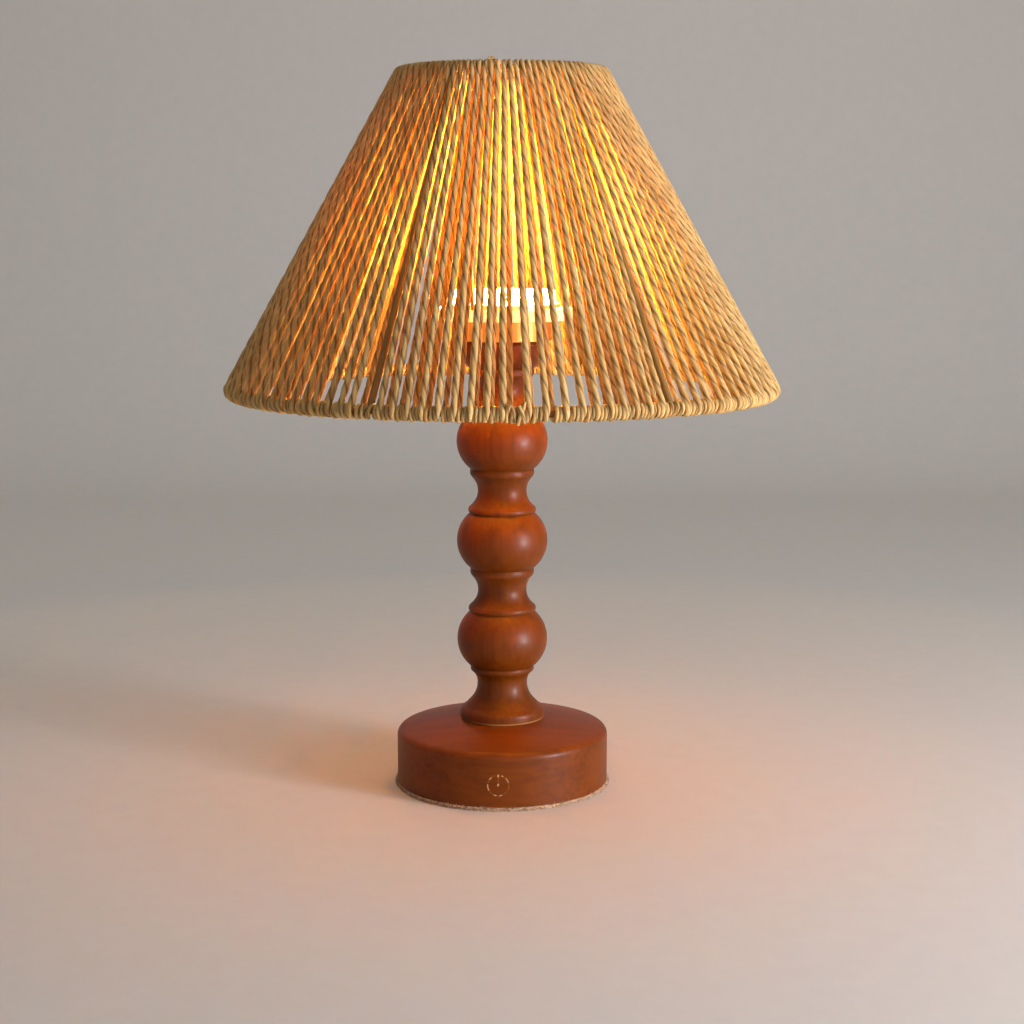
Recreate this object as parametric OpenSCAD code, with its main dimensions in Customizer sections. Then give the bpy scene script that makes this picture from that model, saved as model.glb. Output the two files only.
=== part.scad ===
// Touch table lamp: turned base and bobbin stem, LED head, cone shade strung with paper cord.
// Millimetres. Z is up, the table is at zero and the front, with the touch place, faces -Y.

/* [Base] */
// Diameter of the turned base
base_d = 116.5; // [106:0.5:140]
// Height of the flat seat under the stem, above the table
base_top = 37.3; // [34:0.1:48]
// Radius of the domed top
dome_round = 220; // [150:5:400]
// Rounding of the base's upper edge
base_edge = 4; // [2:0.5:7]
// Wood between the base's side and the hollow
base_wall = 7; // [6:0.5:9]
// Wood above the hollow, under the stem
base_roof = 9.3; // [7:0.1:12]
// Thickness of the felt
felt_t = 2; // [1:0.5:4]
// How far the felt stays inside the base's side
felt_inset = 0.6; // [0:0.1:3]
// Thickness of the bottom cover
cover_t = 2.5; // [2:0.1:4]
// Width of the step that the cover rests against
cover_lip = 4.4; // [4:0.1:5]

/* [Electrics] */
// Width of the battery pack
battery_w = 50; // [30:1:56]
// Length of the battery pack
battery_l = 50; // [30:1:54]
// Thickness of the battery pack
battery_t = 8; // [5:0.5:9]
// Thickness of the foam pad under the battery
foam_t = 1; // [0.5:0.1:2]
// Width of the control board
board_w = 28; // [24:1:34]
// Length of the control board
board_l = 18; // [15:1:22]
// Thickness of the circuit boards
board_t = 1.6; // [1:0.1:2]
// Height of the charging socket's middle above the table
socket_z = 14; // [12:0.5:17]
// Length of the charging socket's shell
socket_l = 13; // [11:0.5:15]
// Height of the touch place's middle above the table
touch_z = 14.2; // [12:0.1:17]
// Diameter of the touch pad
touch_d = 16; // [12:0.5:18]
// Thickness of the touch pad
touch_t = 1.2; // [0.8:0.1:2]
// Wood left in front of the touch pad
touch_wall = 4; // [2.5:0.5:4.5]

/* [Stem] */
// Diameter of the foot
foot_d = 46.8; // [42:0.1:56]
// Height of the lowest bead's middle above the base
first_bead = 44.2; // [42:0.1:52]
// Distance from bead to bead
bead_pitch = 54.8; // [52:0.1:62]
// Number of full beads
beads = 3; // [1:1:5]
// Diameter of the beads
bead_d = 49.6; // [44:0.1:56]
// Radius of a bead's side
bead_round = 19.5; // [17:0.1:23]
// Half the height of a bead
bead_half = 15; // [13:0.1:16]
// Diameter of the ring above a bead
upper_ring_d = 36.6; // [33:0.1:40]
// Height of the ring above a bead
upper_ring_h = 3.5; // [2.5:0.1:4.5]
// Diameter of the ring below a bead
lower_ring_d = 34.6; // [32:0.1:38]
// Height of the ring below a bead
lower_ring_h = 3.8; // [2.5:0.1:4.5]
// Diameter at the waist of a cove
cove_d = 26.4; // [22:0.1:30]
// Radius of a cove between two beads
cove_round = 10; // [9:0.1:12]
// Diameter at the waist of the foot's cove
foot_neck_d = 28; // [24:0.1:32]
// Radius of the foot's cove
foot_cove_round = 10.5; // [9.5:0.1:12]
// Height of the foot's upright rim
foot_rim = 8.7; // [6:0.1:11]

/* [Rod] */
// Diameter of the hollow rod through the stem
rod_d = 10; // [8:0.5:12]
// Bore of the rod
rod_bore = 7; // [4:0.5:7.5]
// Width of the nuts across their flats
nut_af = 17; // [15:0.5:19]
// Height of the nut under the base
nut_h = 5; // [3:0.5:6]
// Height of the nut in the cup
cup_nut_h = 4; // [3:0.5:4]
// Diameter of the washer under the base
washer_d = 28; // [22:1:34]
// Thickness of the washer
washer_t = 1.6; // [1:0.1:2.5]

/* [Head] */
// Diameter of the brass cup
cup_d = 54; // [50:0.5:60]
// Height of the brass cup
cup_h = 10.7; // [10:0.1:13]
// Thickness of the cup's floor
cup_floor = 2.4; // [1.8:0.1:3]
// Diameter of the housing's neck, which plugs into the cup
neck_d = 40; // [36:0.5:44]
// Height of the ledge in the cup that the neck stands on, above the floor
ledge_h = 4.6; // [4.2:0.1:5.5]
// Width of that ledge
ledge_w = 4; // [3:0.5:5]
// Outer diameter of the dish
dish_d = 76; // [72:0.5:84]
// Overall height of the dish
dish_h = 6; // [4:0.1:8]
// Thickness of the dish's floor
dish_floor = 1.6; // [1.2:0.1:2]
// Thickness of the dish's rim
dish_wall = 1.2; // [0.8:0.1:2]
// Diameter of the housing above the dish's floor
housing_d = 59; // [56:0.5:61]
// Diameter of the flange under the diffuser
flange_d = 62.6; // [60:0.1:63]
// Thickness of that flange
flange_t = 2.2; // [1.5:0.1:3]
// Diameter of the diffuser
diffuser_d = 57.6; // [54:0.1:59]
// Height of the diffuser
diffuser_h = 7; // [6:0.1:12]
// Wall of the diffuser
diffuser_wall = 1.8; // [1.2:0.1:2.5]
// Rounding of the diffuser's upper edge
diffuser_edge = 1.5; // [0.5:0.1:2.5]
// LED chips in the outer circle; the inner circle has half as many
chips = 16; // [8:2:20]

/* [Shade] */
// Radius of the top ring, to the middle of its wire
top_ring_r = 53.6; // [50:0.1:70]
// Height of the top ring above the table
top_ring_z = 385.4; // [360:0.1:420]
// Radius of the bottom ring, to the middle of its wire
bottom_ring_r = 144.9; // [120:0.1:170]
// Height of the bottom ring above the table
bottom_ring_z = 219.6; // [205:0.1:240]
// Diameter of the rings' wire
ring_wire_d = 2.8; // [2.2:0.1:3.2]
// Diameter of the struts
strut_d = 3.6; // [2.5:0.1:3.8]
// Turn of the first strut, from the front towards the right
strut_turn = -25.5; // [-30:0.5:30]
// Width of the carrier ring
carrier_w = 3.8; // [3:0.1:4]
// Thickness of the carrier ring
carrier_t = 2; // [1.5:0.1:3]
// Diameter of the drop arms
arm_d = 2.5; // [2:0.1:2.6]
// Cord loops in each bay between two struts
bay_loops = 19; // [9:1:19]
// Diameter of the cord at the bottom ring
cord_d = 3.6; // [2.6:0.1:3.6]
// Diameter of the cord in the wraps round the bottom ring, where it is pulled thin
wrap_d = 2.8; // [2.2:0.1:2.8]
// Diameter of the cord at the top ring, where the loops crowd together
cord_top_d = 2.1; // [1.7:0.1:2.1]

/* [Hidden] */

$fn = 64;

// Clearances
running_fit = 0.3; // between pieces that move on each other
dish_play = 0.6; // between the dish and the neck that it turns on
close_fit = 0.15; // between pieces that are fixed together
thread_fit = 0.1; // round a thread, drawn plain
weld_gap = 0.05; // between wires that are welded
cord_fit = 0.1; // between the cord and the wire it goes round
cord_lap = 0.4; // how far a run of cord reaches into its turn
cord_swell = 0.05; // how much thicker the cord is in its turns
cord_apart = 0.41; // least room between neighbouring turns of cord
past = 1; // how far a cut runs past a face
face_set = 0.4; // how far the socket's mouth stays behind the base's side
bezel_set = 1.5; // how far the bezel reaches into the hollow
board_set = 1; // between the control board's corners and the hollow's side
pad_set = 2; // how far the foam pad stays inside the battery's edges
ring_play = 0.4; // between the carrier ring and the dish's rim
led_play = 0.5; // between the LED board and the diffuser's wall

// Base
bays = 6;
base_r = base_d / 2;
dome_z = base_top - sqrt(pow(dome_round, 2) - pow(foot_d / 2, 2));
edge_x = base_r - base_edge;
edge_z = dome_z + sqrt(pow(dome_round - base_edge, 2) - pow(edge_x, 2));
dome_x = edge_x * dome_round / (dome_round - base_edge);
hollow_r = base_r - base_wall;
hollow_top = base_top - base_roof;
cover_r = hollow_r + cover_lip;
cover_top = felt_t + cover_t;
cover_screws_n = 3;
cover_screw_r = hollow_r + cover_lip / 2;
cover_screw_d = 2;
cover_screw_head = 3.6;
cover_screw_l = 9;

// Electrics
socket_w = 8.94;
socket_h = 3.2;
socket_wall = 0.3;
socket_tongue_w = 6.7;
socket_tongue_t = 0.7;
socket_tongue_l = 4.5;
socket_back_t = 5;
socket_face = base_r - face_set;
post_d = 5;
board_z = socket_z - socket_h / 2 - board_t;
board_top = board_z + board_t;
board_back = sqrt(pow(hollow_r - board_set, 2) - pow(board_w / 2, 2));
board_front = board_back - board_l;
board_screw_in = 3;
board_screw_x = board_w / 2 - board_screw_in;
board_screw_y = board_front + 4;
coil_y = board_front + 8;
chip_y = board_front + 7.5;
coil_d = 6;
coil_h = 3;
board_chip = [5, 4, 1.2];
board_screw_d = 1.8;
board_screw_head = 3.6;
board_screw_head_h = 1.3;
board_screw_l = 5;
board_to_battery = 6;
battery_y = board_front - board_to_battery - battery_l / 2;
battery_z = cover_top + foam_t;
battery_end = battery_y + battery_l / 2;
battery_mid = battery_z + battery_t / 2;
battery_top = battery_z + battery_t;
bezel_w = 13.6;
bezel_h = 8;
bezel_inner_y = hollow_r - bezel_set;
touch_y = base_r - touch_wall;
lead_sides = 8;
lead_d = 1.6;
led_lead_d = 2.4;

// Stem
stem_bore = rod_d + 2 * running_fit;
foot_r = foot_d / 2;
bead_r = bead_d / 2;
stem_h = first_bead + beads * bead_pitch;
foot_cove_z = foot_rim + sqrt(pow(foot_cove_round, 2)
    - pow(foot_neck_d / 2 + foot_cove_round - foot_r, 2));
cove_low = bead_half + upper_ring_h;
cove_high = bead_pitch - bead_half - lower_ring_h;
ring_edge = 1;
crown_edge = 2.5;

// Rod and nuts
rod_end = 2;
rod_bottom = hollow_top - washer_t - nut_h - rod_end;
stem_top = base_top + stem_h;
cup_floor_z = stem_top + cup_floor;
rod_top = cup_floor_z + cup_nut_h + rod_end / 2;

// Head
cup_top = stem_top + cup_h;
ledge_z = cup_floor_z + ledge_h;
dish_z = cup_top + running_fit;
housing_z = dish_z + dish_floor + running_fit;
flange_z = dish_z + dish_h + running_fit;
flange_top = flange_z + flange_t;
housing_roof = 4;
grub_n = 3;
grub_d = 3;
grub_z = (ledge_z + cup_top) / 2;
grub_reach = 1;
led_r = diffuser_d / 2 - diffuser_wall - close_fit - led_play;
led_hole_d = 7;
led_screw_r = 9;
led_screw_d = 2;
led_screw_head = 4;
led_screw_head_h = 1.2;
led_screw_l = 4.6;
chip_w = 2.8;
chip_l = 3.5;
chip_t = 0.8;
chip_outer_r = led_r - 4.5;
chip_inner_r = led_r - 11;

// Shade
ring_r = ring_wire_d / 2;
wall_run = norm([bottom_ring_r - top_ring_r, top_ring_z - bottom_ring_z]);
wall_tilt = atan2(bottom_ring_r - top_ring_r, top_ring_z - bottom_ring_z);
cord_pitch = 360 / bays / (bay_loops + 1);
bottom_room = 2 * (bottom_ring_r - ring_r - cord_fit - cord_d / 2) * sin(cord_pitch / 4)
    - cord_swell - cord_apart;
top_room = 2 * (top_ring_r - ring_r - cord_fit - cord_top_d / 2) * sin(cord_pitch / 2)
    - 2 * cord_swell - cord_apart;
cord_share = min(1, 2 * bottom_room / (cord_d + wrap_d));
cord_r = cord_share * cord_d / 2;
wrap_r = cord_share * wrap_d / 2;
cord_top_r = min(cord_top_d, top_room) / 2;
turn_r = ring_r + cord_fit + cord_r;
wrap_turn_r = ring_r + cord_fit + wrap_r;
top_turn_r = ring_r + cord_fit + cord_top_r;
run_tilt = asin((turn_r - top_turn_r) / wall_run);
run_l = wall_run * cos(run_tilt);
carrier_z = dish_z + dish_floor + running_fit;
carrier_outer = dish_d / 2 - dish_wall - ring_play;
carrier_inner = carrier_outer - carrier_w;
arm_foot_r = (carrier_outer + carrier_inner) / 2;
arm_foot_z = carrier_z + carrier_t;
arm_step = 2;

// The least gap between neighbouring turns of cord, at the crowded inner side of the top ring and at
// the inner side of the bottom ring, where a wrap lies between two loops
top_gap = 2 * (top_ring_r - top_turn_r) * sin(cord_pitch / 2) - 2 * (cord_top_r + cord_swell);
bottom_gap = 2 * (bottom_ring_r - turn_r) * sin(cord_pitch / 4) - cord_r - wrap_r - cord_swell;
echo(least_cord_gap = min(top_gap, bottom_gap));

// Routes of the leads, from end to end. The touch lead follows the hollow's side, the LED lead goes
// between the rod's end and the battery.
lead_x = 8;
lead_bend = 2;
lead_clear = 0.1;
touch_lead_x = -4;
touch_lead_low = board_z - 2.2;
touch_lead_r = hollow_r - 4;
touch_back = touch_y - close_fit - touch_t;
led_lead_y = board_front + 5.7;
led_lead_x = 4;
led_lead_over = (rod_bottom + battery_top) / 2;
function at_side(turn) = [-touch_lead_r * sin(turn), -touch_lead_r * cos(turn), touch_lead_low];
battery_lead_route = [[lead_x, battery_end + close_fit, battery_mid],
    [lead_x, battery_end + lead_bend, battery_mid],
    [lead_x, board_front - lead_bend, board_z + board_t / 2],
    [lead_x, board_front - close_fit, board_z + board_t / 2]];
touch_lead_route = concat(
    [[touch_lead_x / 2, -touch_back + close_fit, touch_z],
     [touch_lead_x, -touch_back + lead_bend + close_fit, touch_z - lead_bend / 4]],
    [for (turn = [20:15:140]) at_side(turn)],
    [[4 * touch_lead_x, board_back - 9, touch_lead_low], [2 * touch_lead_x, board_back - 7, board_z - 1.5],
     [touch_lead_x, board_back - 7, board_z - lead_d / 2 - lead_clear]]);
led_lead_route = [[led_lead_x, led_lead_y, board_top + lead_clear],
    [led_lead_x, led_lead_y, board_top + lead_bend],
    [led_lead_x, board_front + 1, led_lead_over + 1], [led_lead_x, board_front - 4, led_lead_over + 0.5],
    [led_lead_x / 2, 10, led_lead_over], [led_lead_x / 4, 5, led_lead_over],
    [0, 1, rod_bottom - rod_end / 2], [0, 0, rod_bottom + lead_bend], [0, 0, stem_top / 2],
    [0, 0, flange_top - close_fit]];

// Colours
wood = [0.36, 0.13, 0.045];
felt = [0.62, 0.45, 0.28];
black = [0.08, 0.08, 0.085];
green = [0.05, 0.25, 0.13];
steel = [0.6, 0.6, 0.62];
brass = [0.78, 0.55, 0.2];
opal = [0.97, 0.95, 0.9];
copper = [0.75, 0.42, 0.25];
blue = [0.12, 0.25, 0.5];
red = [0.6, 0.08, 0.07];
wire = [0.28, 0.17, 0.08];
kraft = [0.72, 0.56, 0.36];
foam = [0.85, 0.85, 0.82];

// Puts children at a turn about the lamp's axis, from the front towards the right
module around(turn) {
    rotate([0, 0, turn - 90]) children();
}

// A flat slot outline with round ends
module slot(w, h) {
    square([w - h, h], center = true);
    for (side = [-1, 1]) translate([side * (w - h) / 2, 0]) circle(d = h);
}

// A bar with a slot outline, running back along +Y from y
module slot_bar(w, h, y, l, z) {
    translate([0, y + l, z]) rotate([90, 0, 0]) linear_extrude(l) slot(w, h);
}

// Half section of a turned ring whose two outer corners are rounded
module ring_section(r, h, edge) {
    square([r - edge, h]);
    translate([0, edge]) square([r, h - 2 * edge]);
    for (z = [edge, h - edge]) translate([r - edge, z]) circle(edge);
}

// A ring of round wire about the lamp's axis
module wire_ring(r, z, wire_r) {
    translate([0, 0, z]) rotate_extrude() translate([r, 0]) circle(wire_r, $fn = 32);
}

// A hexagon nut standing on z
module nut(z, h) {
    difference() {
        translate([0, 0, z]) cylinder(h = h, d = nut_af / cos(30), $fn = 6);
        translate([0, 0, z - past]) cylinder(h = h + 2 * past, d = rod_d + 2 * thread_fit);
    }
}

// A pan-head screw that hangs down from z
module pan_screw(d, l, head_d, head_h) {
    cylinder(h = head_h, d = head_d);
    translate([0, 0, -l]) cylinder(h = l + head_h / 2, d = d);
}

// Points of a tube round a route, one ring of points for each point of the route
function direction(route, i) =
    let (a = route[max(i - 1, 0)], b = route[min(i + 1, len(route) - 1)]) (b - a) / norm(b - a);
function sideways(along) =
    let (up = abs(along.z) < 0.9 ? [0, 0, 1] : [0, 1, 0], c = cross(along, up)) c / norm(c);
function tube_points(route, r) = [
    for (i = [0:len(route) - 1])
        let (along = direction(route, i), side = sideways(along), over = cross(side, along))
        for (k = [0:lead_sides - 1])
            let (turn = 360 * k / lead_sides)
            route[i] + r * (cos(turn) * side + sin(turn) * over)
];
function tube_faces(rings) = concat(
    [for (i = [0:rings - 2], k = [0:lead_sides - 1])
        let (n = (k + 1) % lead_sides, a = i * lead_sides, b = a + lead_sides)
        each [[a + k, a + n, b + n], [a + k, b + n, b + k]]],
    [for (k = [1:lead_sides - 2]) [0, k + 1, k]],
    [for (k = [1:lead_sides - 2])
        let (a = (rings - 1) * lead_sides) [a, a + k, a + k + 1]]);

// A lead as a closed tube along its route
module lead(route, d) {
    polyhedron(tube_points(route, d / 2), tube_faces(len(route)));
}

// Felt under the base
module felt_pad() {
    color(felt) cylinder(h = felt_t, r = base_r - felt_inset);
}

// Half section of the base: upright side, rounded edge and domed top with a flat seat
module base_section() {
    translate([0, felt_t]) square([base_r, edge_z - felt_t]);
    translate([edge_x, edge_z]) circle(base_edge);
    intersection() {
        translate([0, dome_z]) circle(dome_round, $fn = 360);
        translate([0, felt_t]) square([dome_x, base_top - felt_t]);
    }
}

// Turned base, hollow from below, with the socket's slot and the touch pad's pocket
module base_block() {
    color(wood) difference() {
        rotate_extrude() base_section();
        translate([0, 0, felt_t - past]) cylinder(h = hollow_top - felt_t + past, r = hollow_r);
        translate([0, 0, felt_t - past]) cylinder(h = cover_t + past, r = cover_r);
        cylinder(h = base_top + past, d = stem_bore);
        translate([0, -hollow_r + base_wall, touch_z]) rotate([90, 0, 0])
            cylinder(h = touch_y - hollow_r + base_wall, d = touch_d + 2 * close_fit);
        slot_bar(bezel_w + 2 * close_fit, bezel_h + 2 * close_fit, hollow_r / 2, base_r, socket_z);
        for (i = [0:cover_screws_n - 1]) around(360 * (i + 0.5) / cover_screws_n)
            translate([cover_screw_r, 0, cover_top - past])
                cylinder(h = cover_screw_l - cover_t + past, d = cover_screw_d + 2 * thread_fit);
    }
}

// Half section of a countersunk screw that points up, grown by a gap
module countersunk_section(gap) {
    polygon([[0, 0], [cover_screw_head / 2 + gap, 0], [cover_screw_d / 2 + gap,
        (cover_screw_head - cover_screw_d) / 2], [cover_screw_d / 2 + gap, cover_screw_l - 2 * past],
        [0, cover_screw_l - 2 * past]]);
}

// Cover that closes the hollow, with two posts for the control board
module bottom_cover() {
    color(black) difference() {
        union() {
            translate([0, 0, felt_t]) cylinder(h = cover_t, r = cover_r - close_fit);
            for (side = [-1, 1]) translate([side * board_screw_x, board_screw_y, cover_top - past / 2])
                cylinder(h = board_z - cover_top + past / 2, d = post_d);
        }
        for (side = [-1, 1]) translate([side * board_screw_x, board_screw_y, felt_t + past])
            cylinder(h = board_z, d = board_screw_d + 2 * thread_fit);
        for (i = [0:cover_screws_n - 1]) around(360 * (i + 0.5) / cover_screws_n)
            translate([cover_screw_r, 0, felt_t]) rotate_extrude() countersunk_section(thread_fit);
    }
}

// Countersunk screws that hold the cover
module cover_screws() {
    color(steel) for (i = [0:cover_screws_n - 1]) around(360 * (i + 0.5) / cover_screws_n)
        translate([cover_screw_r, 0, felt_t]) rotate_extrude() countersunk_section(0);
}

// Foam pad that the battery pack is stuck down with
module battery_pad() {
    pad = [battery_w - battery_t - 2 * pad_set, battery_l - 2 * pad_set];
    color(foam) translate([-pad.x / 2, battery_y - pad.y / 2, cover_top]) cube([pad.x, pad.y, foam_t]);
}

// Flat lithium pack with rounded long edges
module battery_pack() {
    color(blue) translate([0, battery_y + battery_l / 2, battery_z + battery_t / 2]) rotate([90, 0, 0])
        linear_extrude(battery_l) slot(battery_w, battery_t);
}

// Lead from the battery pack to the board
module battery_lead() {
    color(red) lead(battery_lead_route, lead_d);
}

// Charging and dimming board, with its larger components
module control_board() {
    color(green) difference() {
        union() {
            translate([-board_w / 2, board_front, board_z]) cube([board_w, board_l, board_t]);
            translate([-board_w / 4, coil_y, board_top - past / 2])
                cylinder(h = coil_h + past / 2, d = coil_d);
            translate([board_w / 4, chip_y, board_top - past / 2])
                cube([board_chip.x, board_chip.y, board_chip.z + past / 2]);
        }
        for (side = [-1, 1]) translate([side * board_screw_x, board_screw_y, board_z - past])
            cylinder(h = board_t + 2 * past, d = board_screw_d + 2 * close_fit);
    }
}

// Screws that hold the board to its posts
module board_screws() {
    color(steel) for (side = [-1, 1])
        translate([side * board_screw_x, board_screw_y, board_z + board_t])
            pan_screw(board_screw_d, board_screw_l, board_screw_head, board_screw_head_h);
}

// Charging socket: an open shell with its tongue
module charge_socket() {
    inner_l = socket_l - socket_back_t;
    color(steel) {
        difference() {
            slot_bar(socket_w, socket_h, socket_face - socket_l, socket_l, socket_z);
            slot_bar(socket_w - 2 * socket_wall, socket_h - 2 * socket_wall, socket_face - inner_l,
                inner_l + past, socket_z);
        }
        translate([-socket_tongue_w / 2, socket_face - inner_l - past, socket_z - socket_tongue_t / 2])
            cube([socket_tongue_w, socket_tongue_l + past, socket_tongue_t]);
    }
}

// Bezel that fills the base's slot round the socket
module port_bezel() {
    color(black) difference() {
        intersection() {
            slot_bar(bezel_w, bezel_h, bezel_inner_y, base_r, socket_z);
            cylinder(h = base_top, r = base_r);
        }
        slot_bar(socket_w + 2 * close_fit, socket_h + 2 * close_fit, 0, base_d, socket_z);
    }
}

// Round sensing pad in the pocket behind the touch place
module touch_pad() {
    color(copper) translate([0, -touch_y + close_fit + touch_t, touch_z]) rotate([90, 0, 0])
        cylinder(h = touch_t, d = touch_d);
}

// Lead from the touch pad to the board
module touch_lead() {
    color(red) lead(touch_lead_route, lead_d);
}

// Half section of one bead
module bead_section() {
    intersection() {
        translate([bead_r - bead_round, 0]) circle(bead_round, $fn = 96);
        translate([0, -bead_half]) square([bead_r, 2 * bead_half]);
    }
}

// Half section of the half bead that ends the stem, flat on top with a rounded edge
module crown_section() {
    rim = bead_r - bead_round + sqrt(pow(bead_round, 2) - pow(crown_edge, 2));
    intersection() {
        translate([bead_r - bead_round, 0]) circle(bead_round, $fn = 96);
        translate([0, -bead_half]) square([bead_r, bead_half - crown_edge]);
    }
    translate([0, -crown_edge]) square([rim - crown_edge, crown_edge]);
    translate([rim - crown_edge, -crown_edge]) intersection() {
        circle(crown_edge);
        square(crown_edge);
    }
}

// Half section of the spool between two beads: ring, cove and ring
module spool_section() {
    cove_z = (cove_low + cove_high) / 2;
    translate([0, bead_half]) ring_section(upper_ring_d / 2, upper_ring_h, ring_edge);
    difference() {
        translate([0, cove_low - ring_edge])
            square([lower_ring_d / 2 - ring_edge, cove_high - cove_low + 2 * ring_edge]);
        translate([cove_d / 2 + cove_round, cove_z]) circle(cove_round, $fn = 96);
    }
    translate([0, cove_high]) ring_section(lower_ring_d / 2, lower_ring_h, ring_edge);
}

// Half section of the foot, up to the ring under the lowest bead
module foot_section() {
    foot_top = first_bead - bead_half - lower_ring_h;
    difference() {
        square([foot_r, foot_top + ring_edge]);
        translate([foot_neck_d / 2 + foot_cove_round, foot_cove_z]) circle(foot_cove_round, $fn = 96);
        translate([lower_ring_d / 2 - ring_edge, foot_cove_z]) square([foot_r, foot_top]);
    }
    translate([0, foot_top]) ring_section(lower_ring_d / 2, lower_ring_h, ring_edge);
}

// Turned bobbin stem, bored for the rod
module stem() {
    color(wood) translate([0, 0, base_top]) difference() {
        rotate_extrude() {
            foot_section();
            for (i = [0:beads - 1]) translate([0, first_bead + i * bead_pitch]) {
                bead_section();
                spool_section();
            }
            translate([0, stem_h]) crown_section();
        }
        translate([0, 0, -past]) cylinder(h = stem_h + 2 * past, d = stem_bore);
    }
}

// Hollow rod that ties base, stem and cup together
module rod() {
    color(steel) difference() {
        translate([0, 0, rod_bottom]) cylinder(h = rod_top - rod_bottom, d = rod_d);
        translate([0, 0, rod_bottom - past]) cylinder(h = rod_top - rod_bottom + 2 * past, d = rod_bore);
    }
}

// Washer under the base's roof
module base_washer() {
    color(steel) difference() {
        translate([0, 0, hollow_top - washer_t]) cylinder(h = washer_t, d = washer_d);
        translate([0, 0, hollow_top - washer_t - past])
            cylinder(h = washer_t + 2 * past, d = rod_d + 2 * running_fit);
    }
}

// Nut under the washer
module base_nut() {
    color(steel) nut(hollow_top - washer_t - nut_h, nut_h);
}

// Nut on the cup's floor
module cup_nut() {
    color(steel) nut(cup_floor_z, cup_nut_h);
}

// Lead from the board up through the rod to the LED board
module led_lead() {
    color(red) lead(led_lead_route, led_lead_d);
}

// Brass cup on the stem, bored for the housing's neck
module head_cup() {
    color(brass) difference() {
        translate([0, 0, stem_top]) cylinder(h = cup_h, d = cup_d);
        translate([0, 0, ledge_z]) cylinder(h = cup_h, d = neck_d + 2 * close_fit);
        translate([0, 0, cup_floor_z]) cylinder(h = cup_h, d = neck_d - 2 * ledge_w);
        translate([0, 0, stem_top - past]) cylinder(h = cup_h, d = rod_d + 2 * thread_fit);
        for (i = [0:grub_n - 1]) around(360 * (i + 0.5) / grub_n) translate([0, 0, grub_z])
            rotate([0, 90, 0]) cylinder(h = cup_d, d = grub_d + 2 * thread_fit);
    }
}

// Grub screws that hold the housing's neck in the cup
module grub_screws() {
    color(steel) for (i = [0:grub_n - 1]) around(360 * (i + 0.5) / grub_n)
        translate([neck_d / 2 - grub_reach + close_fit, 0, grub_z]) rotate([0, 90, 0])
            cylinder(h = cup_d / 2 - neck_d / 2 + grub_reach - 2 * close_fit, d = grub_d);
}

// Dish that turns on the neck, between the cup and the housing, and carries the shade
module dish() {
    color(opal) difference() {
        translate([0, 0, dish_z]) cylinder(h = dish_h, d = dish_d);
        translate([0, 0, dish_z + dish_floor]) cylinder(h = dish_h, d = dish_d - 2 * dish_wall);
        translate([0, 0, dish_z - past]) cylinder(h = dish_h, d = neck_d + 2 * dish_play);
    }
}

// Housing of the light: neck, body and flange, hollow for the lead
module led_housing() {
    color(steel) difference() {
        union() {
            translate([0, 0, ledge_z]) cylinder(h = flange_top - ledge_z, d = neck_d);
            translate([0, 0, housing_z]) cylinder(h = flange_top - housing_z, d = housing_d);
            translate([0, 0, flange_z]) cylinder(h = flange_t, d = flange_d);
        }
        translate([0, 0, ledge_z - past])
            cylinder(h = flange_top - ledge_z - housing_roof + past, d = neck_d - 2 * ledge_w);
        translate([0, 0, ledge_z]) cylinder(h = flange_top, d = led_hole_d);
        for (side = [-1, 1]) translate([side * led_screw_r, 0, ledge_z])
            cylinder(h = flange_top, d = led_screw_d + 2 * thread_fit);
        for (i = [0:grub_n - 1]) around(360 * (i + 0.5) / grub_n)
            translate([neck_d / 2 - grub_reach, 0, grub_z]) rotate([0, 90, 0])
                cylinder(h = neck_d, d = grub_d + 2 * thread_fit);
    }
}

// LED board on the flange
module led_board() {
    color(opal) translate([0, 0, flange_top]) difference() {
        cylinder(h = board_t, r = led_r);
        for (side = [-1, 1]) translate([side * led_screw_r, 0, -past])
            cylinder(h = board_t + 2 * past, d = led_screw_d + 2 * close_fit);
    }
}

// A circle of chips on the LED board
module chip_circle(n, r) {
    for (i = [0:n - 1]) rotate([0, 0, 360 * (i + 0.5) / n])
        translate([r - chip_w / 2, -chip_l / 2, flange_top + board_t]) cube([chip_w, chip_l, chip_t]);
}

// LED chips in two circles
module led_chips() {
    color("gold") {
        chip_circle(chips, chip_outer_r);
        chip_circle(chips / 2, chip_inner_r);
    }
}

// Screws that hold the LED board
module led_screws() {
    color(steel) for (side = [-1, 1]) translate([side * led_screw_r, 0, flange_top + board_t])
        pan_screw(led_screw_d, led_screw_l, led_screw_head, led_screw_head_h);
}

// Opal diffuser over the LED board
module diffuser() {
    color(opal) translate([0, 0, flange_top]) difference() {
        rotate_extrude() {
            square([diffuser_d / 2 - diffuser_edge, diffuser_h]);
            square([diffuser_d / 2, diffuser_h - diffuser_edge]);
            translate([diffuser_d / 2 - diffuser_edge, diffuser_h - diffuser_edge]) circle(diffuser_edge);
        }
        translate([0, 0, -past]) cylinder(h = diffuser_h - diffuser_wall + past,
            d = diffuser_d - 2 * diffuser_wall);
    }
}

// Wire ring at the top of the shade
module top_ring() {
    color(wire) wire_ring(top_ring_r, top_ring_z, ring_r);
}

// Wire ring at the bottom of the shade
module bottom_ring() {
    color(wire) wire_ring(bottom_ring_r, bottom_ring_z, ring_r);
}

// Puts children in the plane of the wall: Z runs from the bottom ring to the top ring, X outwards
module wall_plane(turn) {
    around(turn) translate([bottom_ring_r, 0, bottom_ring_z]) rotate([0, -wall_tilt, 0]) children();
}

// Both rings, grown by the weld gap, that the frame's wires are cut to fit
module ring_cuts() {
    wire_ring(top_ring_r, top_ring_z, ring_r + weld_gap);
    wire_ring(bottom_ring_r, bottom_ring_z, ring_r + weld_gap);
}

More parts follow.
